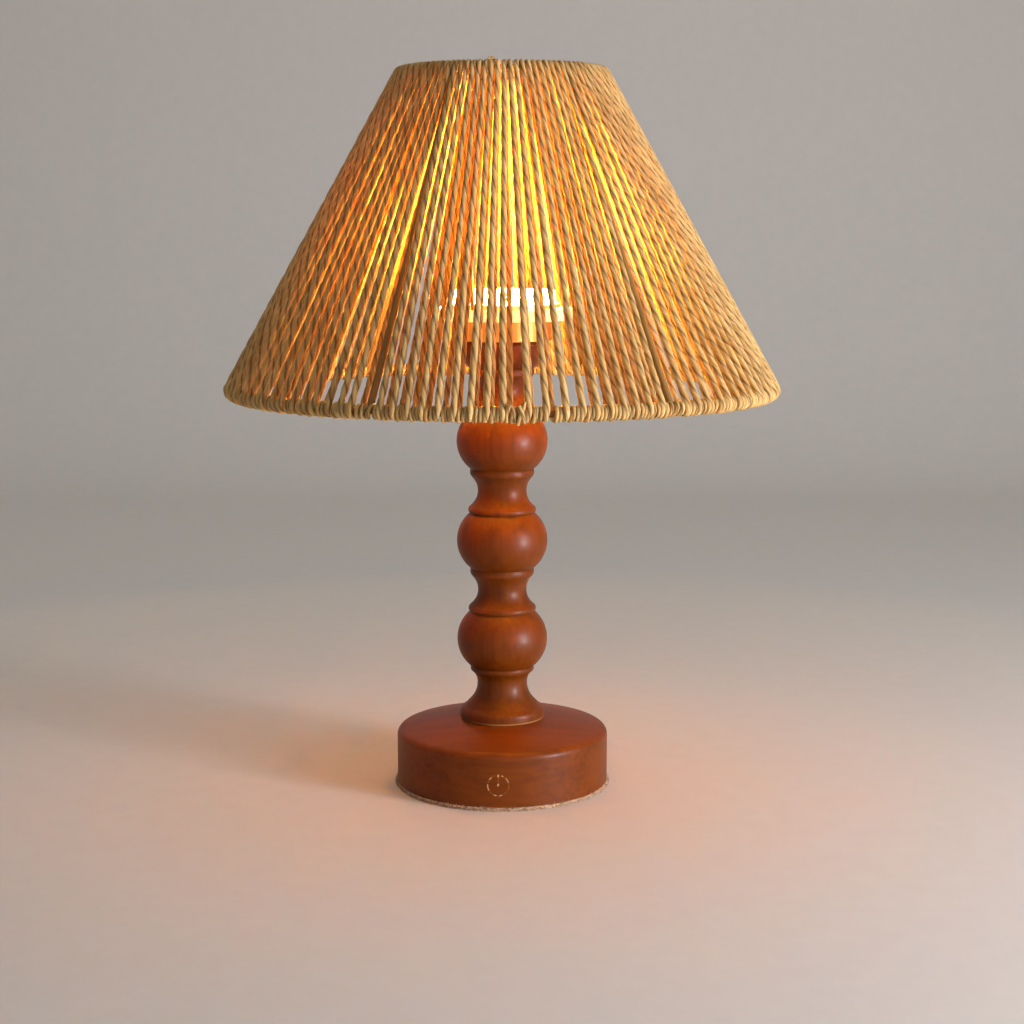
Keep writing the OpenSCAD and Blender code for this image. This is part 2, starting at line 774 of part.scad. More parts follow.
// The turn of a strut from the front
function strut_at(i) = strut_turn + 360 / bays * (i - 1);

// One strut between the rings
module strut(i) {
    color(wire) difference() {
        wall_plane(strut_at(i)) cylinder(h = wall_run, d = strut_d, $fn = 32);
        ring_cuts();
    }
}

// Flat ring that sits in the dish
module carrier_ring() {
    color(wire) difference() {
        translate([0, 0, carrier_z]) cylinder(h = carrier_t, r = carrier_outer);
        translate([0, 0, carrier_z - past]) cylinder(h = carrier_t + 2 * past, r = carrier_inner);
    }
}

// One arm from the carrier ring up to the top ring, beside every second strut
module drop_arm(i) {
    rise = top_ring_z - arm_foot_z;
    reach = top_ring_r - arm_foot_r;
    k = arm_step * i - 1;
    color(wire) difference() {
        around(strut_at(k)) translate([arm_foot_r, 0, arm_foot_z]) rotate([0, atan2(reach, rise), 0])
            translate([0, 0, -arm_d]) cylinder(h = norm([rise, reach]) + arm_d, d = arm_d, $fn = 32);
        cylinder(h = arm_foot_z + weld_gap, r = dish_d);
        ring_cuts();
        wall_plane(strut_at(k)) cylinder(h = wall_run, d = strut_d + 2 * weld_gap, $fn = 32);
    }
}

// Part of a ring of cord in the wall's plane, from one angle through another
module cord_turn(r, cord, start, sweep) {
    rotate([90, 0, 0]) rotate([0, 0, start]) rotate_extrude(angle = sweep)
        translate([r, 0]) circle(cord + cord_swell, $fn = 32);
}

// One loop of cord: up outside the rings, over the top ring, down inside and under the bottom ring
module cord_loop() {
    cord_turn(turn_r, cord_r, 180 - run_tilt, 180 + 2 * run_tilt);
    translate([0, 0, wall_run]) cord_turn(top_turn_r, cord_top_r, run_tilt, 180 - 2 * run_tilt);
    for (side = [-1, 1])
        translate([side * turn_r * cos(run_tilt), 0, turn_r * sin(run_tilt)])
            rotate([0, -side * run_tilt, 0]) translate([0, 0, -cord_lap])
                cylinder(h = run_l + 2 * cord_lap, r1 = cord_r, r2 = cord_top_r, $fn = 32);
}

// The cord between two struts
module cord_bay(i) {
    color(kraft) for (k = [1:bay_loops]) wall_plane(strut_at(i) + k * cord_pitch) cord_loop();
}

// Wraps round the bottom ring, one between each two loops
module cord_wraps() {
    color(kraft) for (k = [0:bays * (bay_loops + 1) - 1])
        around(strut_turn + (k + 0.5) * cord_pitch) translate([bottom_ring_r, 0, bottom_ring_z])
            rotate([90, 0, 0]) rotate_extrude() translate([wrap_turn_r, 0]) circle(wrap_r, $fn = 32);
}

felt_pad();
base_block();
bottom_cover();
cover_screws();
battery_pad();
battery_pack();
battery_lead();
control_board();
board_screws();
charge_socket();
port_bezel();
touch_pad();
touch_lead();
stem();
rod();
base_washer();
base_nut();
cup_nut();
led_lead();
head_cup();
grub_screws();
dish();
led_housing();
led_board();
led_chips();
led_screws();
diffuser();
top_ring();
bottom_ring();
carrier_ring();
strut(1);  // strut_1
strut(2);  // strut_2
strut(3);  // strut_3
strut(4);  // strut_4
strut(5);  // strut_5
strut(6);  // strut_6
drop_arm(1);  // drop_arm_1
drop_arm(2);  // drop_arm_2
drop_arm(3);  // drop_arm_3
cord_bay(1);  // cord_bay_1
cord_bay(2);  // cord_bay_2
cord_bay(3);  // cord_bay_3
cord_bay(4);  // cord_bay_4
cord_bay(5);  // cord_bay_5
cord_bay(6);  // cord_bay_6
cord_wraps();
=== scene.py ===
"""Dresses the touch table lamp: lacquered wood, twisted paper cord, brass, opal light and felt."""

from __future__ import annotations

import logging
import math
import random
from dataclasses import dataclass, field
from enum import Enum

import bmesh
import bpy
import numpy as np
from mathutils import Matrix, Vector

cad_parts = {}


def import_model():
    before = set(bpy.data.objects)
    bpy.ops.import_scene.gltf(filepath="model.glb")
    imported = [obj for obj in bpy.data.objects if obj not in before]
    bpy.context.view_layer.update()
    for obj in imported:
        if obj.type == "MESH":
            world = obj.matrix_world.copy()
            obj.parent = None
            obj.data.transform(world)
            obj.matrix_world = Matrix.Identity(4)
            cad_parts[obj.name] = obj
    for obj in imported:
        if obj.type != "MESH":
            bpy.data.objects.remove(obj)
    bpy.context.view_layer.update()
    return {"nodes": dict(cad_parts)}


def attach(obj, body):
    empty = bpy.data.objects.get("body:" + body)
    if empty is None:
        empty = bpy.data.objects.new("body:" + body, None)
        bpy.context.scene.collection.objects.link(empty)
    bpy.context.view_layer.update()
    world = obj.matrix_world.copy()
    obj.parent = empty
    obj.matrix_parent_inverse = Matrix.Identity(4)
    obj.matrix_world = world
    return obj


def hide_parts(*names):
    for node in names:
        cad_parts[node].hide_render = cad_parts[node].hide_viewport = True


LOG = logging.getLogger("lamp")
MM = 0.001

# The part of a noise pattern's range that most of it lies in, and a narrower one
SWING = (0.3, 0.7)
CLOUD_SWING = (0.35, 0.65)

Socket = bpy.types.NodeSocket
Material = bpy.types.Material
Object = bpy.types.Object
Pair = tuple[float, float]
Triple = tuple[float, float, float]
Colour = Triple
Points = list[Triple]
Station = tuple[np.ndarray, float]
Path = tuple[np.ndarray, np.ndarray]


class Body(Enum):
    """The rigid bodies that pieces ride on."""

    LAMP = "lamp"
    SHADE = "shade"


class Leaf(Enum):
    """Whether a stretch of the mark is plain gold or carries a painted glint, as its material's number."""

    DULL = 0
    GLINT = 1


class Grain(Enum):
    """Which way the wood's fibres run, as the stretch of its pattern along X, Y and Z."""

    UPRIGHT = (1.0, 1.0, 0.05)
    ACROSS = (0.05, 1.0, 1.0)


def paint(*channels: int) -> Colour:
    """Turns red, green and blue from 0 to 255, as a screen shows them, into linear light."""
    shares = [channel / 255 for channel in channels]
    return tuple(share / 12.92 if share <= 0.04045 else ((share + 0.055) / 1.055) ** 2.4 for share in shares)


class Wiring:
    """Fills a node tree, node by node."""

    def __init__(self, tree: bpy.types.NodeTree) -> None:
        """Takes the tree to fill."""
        self.tree = tree

    def add(self, kind: str, inputs: dict | None = None, **settings: object) -> bpy.types.Node:
        """Adds a node.

        Args:
            kind: The node's type name.
            inputs: Values or source sockets, by socket name or index.
            settings: Properties of the node.

        Returns:
            The node.
        """
        node = self.tree.nodes.new(kind)
        for key, value in settings.items():
            setattr(node, key, value)
        for key, value in (inputs or {}).items():
            if isinstance(value, Socket):
                self.tree.links.new(value, node.inputs[key])
            else:
                node.inputs[key].default_value = value
        return node

    def maths(self, operation: str, first: object, second: object = 0.0) -> Socket:
        """Adds a calculation on two numbers."""
        return self.add("ShaderNodeMath", {0: first, 1: second}, operation=operation).outputs[0]


class Shader(Wiring):
    """A material's node tree with one Principled shader."""

    def __init__(self, name: str, colour: Colour, roughness: float, metallic: float = 0.0) -> None:
        """Makes the material.

        Args:
            name: The material's name.
            colour: Base colour in linear light.
            roughness: Roughness of the surface.
            metallic: 1 for bare metal.
        """
        self.material = bpy.data.materials.new(name)
        self.material.use_nodes = True
        super().__init__(self.material.node_tree)
        self.surface = self.tree.nodes["Principled BSDF"]
        self.set("Base Color", (*colour, 1.0))
        self.set("Roughness", roughness)
        self.set("Metallic", metallic)

    def set(self, socket: str, value: object) -> None:
        """Sets one value of the Principled shader."""
        self.surface.inputs[socket].default_value = value

    def feed(self, socket: str, source: Socket) -> None:
        """Feeds a socket of the Principled shader from another node."""
        self.tree.links.new(source, self.surface.inputs[socket])

    def place(self, scale: Triple = (1.0, 1.0, 1.0)) -> Socket:
        """Gives the piece's own coordinates, stretched along X, Y and Z."""
        coords = self.add("ShaderNodeTexCoord").outputs["Object"]
        return self.add("ShaderNodeMapping", {"Vector": coords, "Scale": scale}).outputs["Vector"]

    def attribute(self, name: str) -> Socket:
        """Gives a number stored on the mesh."""
        return self.add("ShaderNodeAttribute", attribute_name=name).outputs["Fac"]

    def join(self, x: object, y: object, z: object) -> Socket:
        """Joins three numbers into a vector."""
        return self.add("ShaderNodeCombineXYZ", {0: x, 1: y, 2: z}).outputs[0]

    def noise(self, vector: Socket, scale: float, detail: float = 4.0, distortion: float = 0.0) -> Socket:
        """Adds a noise pattern of about 0 to 1 with a fineness, octaves and swirl."""
        inputs = {"Vector": vector, "Scale": scale, "Detail": detail, "Distortion": distortion}
        return self.add("ShaderNodeTexNoise", inputs).outputs["Fac"]

    def band(self, value: Socket, low: float, high: float, start: float = 0.0, end: float = 1.0) -> Socket:
        """Maps a number from the range low to high onto start to end, clamped."""
        inputs = {"Value": value, "From Min": low, "From Max": high, "To Min": start, "To Max": end}
        return self.add("ShaderNodeMapRange", inputs).outputs["Result"]

    def mingle(self, first: object, share: float, second: object, rest: float) -> Socket:
        """Adds up two patterns by their shares."""
        return self.maths("ADD", self.maths("MULTIPLY", first, share), self.maths("MULTIPLY", second, rest))

    def blend(self, factor: object, first: object, second: object) -> Socket:
        """Blends two colours.

        Args:
            factor: Share of the second colour.
            first: First colour, or its source.
            second: Second colour, or its source.

        Returns:
            The blended colour.
        """
        ends = [(*end, 1.0) if isinstance(end, tuple) else end for end in (first, second)]
        node = self.add("ShaderNodeMix", {0: factor, 6: ends[0], 7: ends[1]}, data_type="RGBA")
        return node.outputs[2]

    def bump(self, height: Socket, depth: float, strength: float = 1.0) -> None:
        """Roughens the surface by a pattern, to a depth in metres."""
        node = self.add("ShaderNodeBump", {"Height": height, "Distance": depth, "Strength": strength})
        self.feed("Normal", node.outputs["Normal"])


@dataclass(frozen=True)
class LacqueredWood:
    """Reddish brown wood under a satin lacquer."""

    name: str
    grain: Grain
    dark: Colour = paint(82, 32, 0)
    light: Colour = paint(124, 59, 1)
    pore: Colour = paint(70, 24, 0)
    # A pale band at the stem's lower edge, fading out over a height above it
    pale_band_z: float | None = None
    pale_band: Colour = paint(204, 148, 88)
    pale_band_h: float = 1.1 * MM
    figure_scale: float = 46.0
    streak_scale: float = 420.0
    pore_scale: float = 1500.0
    pore_share: float = 0.08
    relief: float = 0.02 * MM

    def build(self) -> Material:
        """Builds the material.

        Returns:
            The material.
        """
        shader = Shader(self.name, self.light, roughness=0.34)
        stretched = shader.place(self.grain.value)
        broad = shader.noise(stretched, self.figure_scale, detail=3.0, distortion=0.6)
        streaks = shader.noise(stretched, self.streak_scale, detail=5.0, distortion=0.2)
        pores = shader.noise(stretched, self.pore_scale, detail=2.0)
        tone = shader.mingle(broad, 0.6, streaks, 0.4)
        colour = shader.blend(shader.band(tone, *SWING), self.dark, self.light)
        colour = shader.blend(shader.band(pores, 0.6, 0.78, 0.0, self.pore_share), colour, self.pore)
        if self.pale_band_z is not None:
            height = shader.add("ShaderNodeSeparateXYZ", {0: shader.place()}).outputs["Z"]
            rim = shader.band(height, self.pale_band_z, self.pale_band_z + self.pale_band_h, 1.0, 0.0)
            colour = shader.blend(rim, colour, self.pale_band)
        shader.feed("Base Color", colour)
        shader.feed("Roughness", shader.band(streaks, *SWING, 0.42, 0.5))
        shader.set("Specular IOR Level", 0.2)
        shader.set("Coat Weight", 0.1)
        shader.set("Coat Roughness", 0.22)
        furrows = shader.maths("ADD", streaks, shader.maths("MULTIPLY", pores, 0.2))
        shader.bump(furrows, self.relief, strength=0.2)
        return shader.material


@dataclass(frozen=True)
class PaperCord:
    """Twisted kraft paper: two plies with fibres that follow the lay."""

    name: str = "paper_cord"
    pale: Colour = paint(232, 196, 132)
    brown: Colour = paint(172, 125, 63)
    # Painted shade: the colour that darkens the cord in the groove between its plies
    groove: Colour = paint(72, 42, 14)
    groove_shade_share: float = 0.74
    fibre_stretch: Triple = (9.0, 90.0, 37.0)
    patch_stretch: float = 40.0
    glow_share: float = 0.45
    glow_depth: float = 3.2 * MM
    glow_reach: Colour = (1.0, 0.85, 0.28)
    relief: float = 0.25 * MM

    def build(self) -> Material:
        """Builds the material, which reads the cord's own attributes.

        Returns:
            The material.
        """
        shader = Shader(self.name, self.pale, roughness=0.72)
        around, along, strand = (shader.attribute(name) for name in ("around", "along", "strand"))
        fibre_space = shader.join(*(shader.maths("MULTIPLY", value, stretch)
                                    for value, stretch in zip((around, along, strand), self.fibre_stretch)))
        fibres = shader.noise(fibre_space, scale=2.2, distortion=0.3)
        patch_space = shader.join(around, shader.maths("MULTIPLY", along, self.patch_stretch), strand)
        patches = shader.noise(patch_space, scale=1.0, detail=2.0)
        tone = shader.mingle(fibres, 0.55, patches, 0.45)
        colour = shader.blend(shader.band(tone, 0.34, 0.66), self.brown, self.pale)
        # Darkens the cord along the groove between the plies: painted shade
        valley = shader.attribute("valley")
        colour = shader.blend(shader.band(valley, 0.25, 1.0, 0.0, self.groove_shade_share), colour, self.groove)
        shader.feed("Base Color", colour)
        shader.feed("Roughness", shader.band(fibres, *SWING, 0.62, 0.82))
        shader.set("Subsurface Weight", self.glow_share)
        shader.set("Subsurface Radius", self.glow_reach)
        shader.set("Subsurface Scale", self.glow_depth)
        shader.set("Specular IOR Level", 0.3)
        shader.bump(fibres, self.relief, strength=0.6)
        return shader.material


@dataclass(frozen=True)
class Felt:
    """Speckled, fuzzy tan felt."""

    name: str = "tan_felt"
    pale: Colour = paint(246, 212, 172)
    brown: Colour = paint(112, 72, 46)
    speck: Colour = paint(236, 214, 186)
    tuft_scale: float = 900.0
    speck_scale: float = 2600.0
    relief: float = 0.5 * MM

    def build(self) -> Material:
        """Builds the material.

        Returns:
            The material.
        """
        shader = Shader(self.name, self.pale, roughness=0.95)
        place = shader.place()
        tufts = shader.noise(place, self.tuft_scale, detail=5.0, distortion=1.2)
        specks = shader.noise(place, self.speck_scale, detail=2.0)
        colour = shader.blend(shader.band(tufts, 0.42, 0.56), self.brown, self.pale)
        colour = shader.blend(shader.band(specks, 0.62, 0.72, 0.0, 0.5), colour, self.speck)
        shader.feed("Base Color", colour)
        shader.set("Sheen Weight", 0.4)
        shader.bump(tufts, self.relief, strength=0.9)
        return shader.material


@dataclass(frozen=True)
class TurnedMetal:
    """Bare metal with fine marks from turning or drawing."""

    name: str
    colour: Colour
    roughness: float = 0.3
    marks: Triple = (30.0, 30.0, 4000.0)
    # Darker patches: real stains on the fittings; on the gold mark, the painted dark between its glints
    stain_and_glint: float = 0.5
    dulling: float = 0.72
    stain_and_glint_scale: float = 90.0
    relief: float = 0.02 * MM

    def build(self) -> Material:
        """Builds the material.

        Returns:
            The material.
        """
        shader = Shader(self.name, self.colour, self.roughness, metallic=1.0)
        fine = shader.noise(shader.place(self.marks), scale=1.0, detail=3.0)
        stain_and_glint_noise = shader.noise(shader.place(), self.stain_and_glint_scale, detail=3.0)
        dull = tuple(self.dulling * channel for channel in self.colour)
        stain_and_glint_mask = shader.band(stain_and_glint_noise, 0.45, 0.75, 0.0, self.stain_and_glint)
        shader.feed("Base Color", shader.blend(stain_and_glint_mask, self.colour, dull))
        shader.feed("Roughness", shader.band(fine, *SWING, self.roughness - 0.08, self.roughness + 0.1))
        shader.bump(fine, self.relief, strength=0.4)
        return shader.material


@dataclass(frozen=True)
class Moulded:
    """Plastic, film, paint or foam with a light mottle and a fine grain."""

    name: str
    colour: Colour
    roughness: float = 0.5
    mottle: float = 0.2
    grain: float = 0.03 * MM
    fineness: float = 900.0
    cloud_scale: float = 70.0

    def build(self) -> Material:
        """Builds the material.

        Returns:
            The material.
        """
        shader = Shader(self.name, self.colour, self.roughness)
        place = shader.place()
        cloud = shader.noise(place, self.cloud_scale)
        fine = shader.noise(place, self.fineness, detail=3.0)
        shade = tuple((1 - self.mottle) * channel for channel in self.colour)
        shader.feed("Base Color", shader.blend(shader.band(cloud, *CLOUD_SWING), shade, self.colour))
        shader.feed("Roughness", shader.band(fine, *SWING, self.roughness - 0.06, self.roughness + 0.08))
        shader.bump(fine, self.grain, strength=0.5)
        return shader.material


@dataclass(frozen=True)
class OpalLight:
    """Opal plastic with the lit LEDs behind it; also gives the dish, which has no LEDs, a painted glow."""

    name: str
    glow: float
    tint: Colour = paint(255, 196, 80)
    colour: Colour = paint(244, 238, 226)
    cloud_scale: float = 120.0
    cloud_shade: float = 0.93

    def build(self) -> Material:
        """Builds the material.

        Returns:
            The material.
        """
        shader = Shader(self.name, self.colour, roughness=0.4)
        cloud = shader.noise(shader.place(), self.cloud_scale, detail=3.0)
        shade = tuple(self.cloud_shade * channel for channel in self.colour)
        shader.feed("Base Color", shader.blend(shader.band(cloud, *CLOUD_SWING), self.colour, shade))
        shader.set("Emission Color", (*self.tint, 1.0))
        shader.set("Emission Strength", self.glow)
        return shader.material


class Recipe(Wiring):
    """A Geometry Nodes tree with named sizes."""

    def __init__(self, name: str) -> None:
        """Makes an empty tree that takes and gives geometry.

        Args:
            name: The tree's name.
        """
        super().__init__(bpy.data.node_groups.new(name, "GeometryNodeTree"))
        self.idents: dict[str, str] = {}
        self.tree.interface.new_socket("Geometry", in_out="INPUT", socket_type="NodeSocketGeometry")
        self.tree.interface.new_socket("Geometry", in_out="OUTPUT", socket_type="NodeSocketGeometry")
        self.source = self.tree.nodes.new("NodeGroupInput")
        self.sink = self.tree.nodes.new("NodeGroupOutput")

    def size(self, name: str, kind: str, value: object = None) -> Socket:
        """Adds a named input.

        Args:
            name: The input's name.
            kind: Float, Int or Material.
            value: Its default.

        Returns:
            The socket that gives it.
        """
        socket = self.tree.interface.new_socket(name, in_out="INPUT", socket_type=f"NodeSocket{kind}")
        if value is not None:
            socket.default_value = value
        self.idents[name] = socket.identifier
        return self.source.outputs[name]

    def wander(self, value: Socket, rate: float, seed: Socket) -> Socket:
        """Adds a smooth random number about zero that changes along another.

        Args:
            value: The number it changes along.
            rate: How fast it changes.
            seed: Shifts the pattern.

        Returns:
            The random number, about -0.5 to 0.5.
        """
        apart = 31.0
        place = self.maths("ADD", self.maths("MULTIPLY", value, rate), self.maths("MULTIPLY", seed, apart))
        inputs = {"W": place, "Scale": 1.0, "Detail": 2.0}
        noise = self.add("ShaderNodeTexNoise", inputs, noise_dimensions="1D")
        return self.maths("SUBTRACT", noise.outputs[0], 0.5)

    def store(self, geometry: Socket, name: str, value: Socket) -> Socket:
        """Stores a number on each point of the geometry under a name."""
        inputs = {"Geometry": geometry, "Name": name, "Value": value}
        return self.add("GeometryNodeStoreNamedAttribute", inputs, domain="POINT").outputs["Geometry"]

    def end(self, geometry: Socket, material: Socket) -> None:
        """Ends the tree: real geometry in one material.

        Args:
            geometry: What the tree has made.
            material: The material's input.
        """
        real = self.add("GeometryNodeRealizeInstances", {"Geometry": geometry}).outputs["Geometry"]
        done = self.add("GeometryNodeSetMaterial", {"Geometry": real, "Material": material})
        self.tree.links.new(done.outputs["Geometry"], self.sink.inputs["Geometry"])

    def apply(self, obj: Object, name: str, sizes: dict[str, object]) -> Object:
        """Runs the tree on an object and keeps the result as a plain mesh.

        Args:
            obj: The object that the tree works on, which is then removed.
            name: The new piece's name.
            sizes: Values for the named inputs.

        Returns:
            The new piece.
        """
        modifier = obj.modifiers.new(self.tree.name, "NODES")
        modifier.node_group = self.tree
        for key, value in sizes.items():
            modifier[self.idents[key]] = value
        bpy.context.view_layer.update()
        graph = bpy.context.evaluated_depsgraph_get()
        mesh = bpy.data.meshes.new_from_object(obj.evaluated_get(graph))
        obj.modifiers.remove(modifier)
        bpy.data.objects.remove(obj)
        mesh.name = name
        return link(name, mesh)


def link(name: str, data: bpy.types.ID) -> Object:
    """Puts data into the scene as an object at the origin.

    Args:
        name: The object's name.
        data: Its mesh or curve.

    Returns:
        The object.
    """
    obj = bpy.data.objects.new(name, data)
    bpy.context.scene.collection.objects.link(obj)
    return obj


def seat(piece: Object, body: Body, slot: str, *nodes: str) -> None:
    """Lets a finished piece ride on a body and hides the nodes it stands for.

    Args:
        piece: The piece.
        body: The body it moves with.
        slot: Not used.
        nodes: CAD nodes that it replaces.
    """
    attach(piece, body.value)
    if nodes:
        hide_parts(*nodes)
    LOG.info("%s: %d faces on %s", piece.name, len(piece.data.polygons), body.value)


def dress(node: Object, material: Material) -> None:
    """Gives a CAD node its material."""
    node.data.materials.clear()
    node.data.materials.append(material)


def loft(body: bmesh.types.BMesh, rings: list[list[bmesh.types.BMVert]]) -> list[bmesh.types.BMFace]:
    """Joins rings of vertices, each to the next one.

    Args:
        body: The mesh.
        rings: Rings with as many vertices each.

    Returns:
        The new faces.
    """
    faces = []
    for low, high in zip(rings, rings[1:]):
        for i in range(len(low)):
            j = (i + 1) % len(low)
            faces.append(body.faces.new((low[i], low[j], high[j], high[i])))
    return faces


def solid(body: bmesh.types.BMesh, name: str) -> Object:
    """Makes an object of a closed mesh, with its faces pointing out.

    Args:
        body: The mesh, which is then freed.
        name: The object's name.

    Returns:
        The object.
    """
    bmesh.ops.recalc_face_normals(body, faces=body.faces)
    mesh = bpy.data.meshes.new(name)
    body.to_mesh(mesh)
    body.free()
    return link(name, mesh)


def polyline(name: str, paths: list[Path]) -> Object:
    """Makes a curve object of open paths.

    Args:
        name: The object's name.
        paths: Points and radii of each path, in metres.

    Returns:
        The curve object.
    """
    curve = bpy.data.curves.new(name, "CURVE")
    curve.dimensions = "3D"
    for points, radii in paths:
        spline = curve.splines.new("POLY")
        spline.points.add(len(points) - 1)
        spline.points.foreach_set("co", np.column_stack([points, np.ones(len(points))]).ravel())
        spline.points.foreach_set("radius", radii)
    return link(name, curve)


def arc(radius: float, height: float, turns: range) -> Points:
    """Gives points round the lamp's axis, at degrees from the front towards the left."""
    angles = [math.radians(turn) for turn in turns]
    return [(-radius * math.sin(angle), -radius * math.cos(angle), height) for angle in angles]


def rounded(points: np.ndarray, per_span: int = 8) -> np.ndarray:
    """Draws a smooth curve through points.

    Args:
        points: The points, one a row.
        per_span: New points for each span.

    Returns:
        The curve's points.
    """
    spans = np.linalg.norm(np.diff(points, axis=0), axis=1)
    slopes = np.diff(points, axis=0) / spans[:, None]
    tangents = np.vstack([slopes[:1], slopes[1:] * spans[:-1, None] + slopes[:-1] * spans[1:, None],
                          slopes[-1:]])
    tangents[1:-1] /= (spans[:-1] + spans[1:])[:, None]
    out = []
    for i, span in enumerate(spans):
        for t in np.linspace(0.0, 1.0, per_span, endpoint=False):
            chord = (2 * t ** 3 - 3 * t ** 2 + 1) * points[i] + (3 * t ** 2 - 2 * t ** 3) * points[i + 1]
            pull = (t ** 3 - 2 * t ** 2 + t) * tangents[i] + (t ** 3 - t ** 2) * tangents[i + 1]
            out.append(chord + span * pull)
    out.append(points[-1])
    return np.array(out)


def cord_recipe() -> Recipe:
    """Builds the tree that lays a cord of two twisted plies along curves.

    Returns:
        The recipe, with the inputs Lay, Groove, Sides, Step, Uneven, Tint and Material.
    """
    drift_rate, drift_turn, plump_rate, valley_power = 60.0, 9.0, 210.0, 6.0
    recipe = Recipe("twisted_cord")
    lay = recipe.size("Lay", "Float", 22 * MM)
    groove = recipe.size("Groove", "Float", 0.24)
    sides = recipe.size("Sides", "Int", 10)
    step = recipe.size("Step", "Float", 1.2 * MM)
    uneven = recipe.size("Uneven", "Float", 0.0)
    tint = recipe.size("Tint", "Float", 0.0)
    material = recipe.size("Material", "Material")
    strung = {"Curve": recipe.source.outputs["Geometry"], "Length": step}
    path = recipe.add("GeometryNodeResampleCurve", strung, mode="LENGTH").outputs["Curve"]
    length = recipe.add("GeometryNodeSplineParameter").outputs["Length"]
    turn = recipe.maths("MULTIPLY", recipe.maths("DIVIDE", length, lay), math.tau)
    drift = recipe.wander(length, drift_rate, tint)
    stray = recipe.maths("MULTIPLY", uneven, drift_turn)
    turn = recipe.maths("ADD", turn, recipe.maths("MULTIPLY", drift, stray))
    path = recipe.add("GeometryNodeSetCurveTilt", {"Curve": path, "Tilt": turn}).outputs["Curve"]
    swell = recipe.wander(length, plump_rate, tint)
    plump = recipe.maths("ADD", 1.0, recipe.maths("MULTIPLY", swell, uneven))
    slack = recipe.maths("MULTIPLY", recipe.add("GeometryNodeInputRadius").outputs["Radius"], plump)
    path = recipe.add("GeometryNodeSetCurveRadius", {"Curve": path, "Radius": slack}).outputs["Curve"]
    path = recipe.store(path, "along", length)
    path = recipe.store(path, "strand", tint)
    circle = recipe.add("GeometryNodeCurvePrimitiveCircle", {"Resolution": sides, "Radius": 1.0})
    place = recipe.add("GeometryNodeInputPosition").outputs["Position"]
    across = recipe.add("ShaderNodeSeparateXYZ", {0: place}).outputs["X"]
    valley = recipe.maths("POWER", recipe.maths("ABSOLUTE", across), valley_power)
    shrink = recipe.maths("SUBTRACT", 1.0, recipe.maths("MULTIPLY", groove, valley))
    pressed = recipe.add("ShaderNodeVectorMath", {0: place, "Scale": shrink}, operation="SCALE").outputs[0]
    section = recipe.store(circle.outputs["Curve"], "valley", valley)
    section = recipe.store(section, "around", recipe.add("GeometryNodeSplineParameter").outputs["Factor"])
    section = recipe.add("GeometryNodeSetPosition", {"Geometry": section, "Position": pressed})
    radius = recipe.add("GeometryNodeInputRadius").outputs["Radius"]
    sweep = {"Curve": path, "Scale": radius, "Profile Curve": section.outputs["Geometry"], "Fill Caps": True}
    tube = recipe.add("GeometryNodeCurveToMesh", sweep).outputs["Mesh"]
    smooth = recipe.add("GeometryNodeSetShadeSmooth", {"Geometry": tube, "Shade Smooth": True})
    recipe.end(smooth.outputs["Geometry"], material)
    return recipe


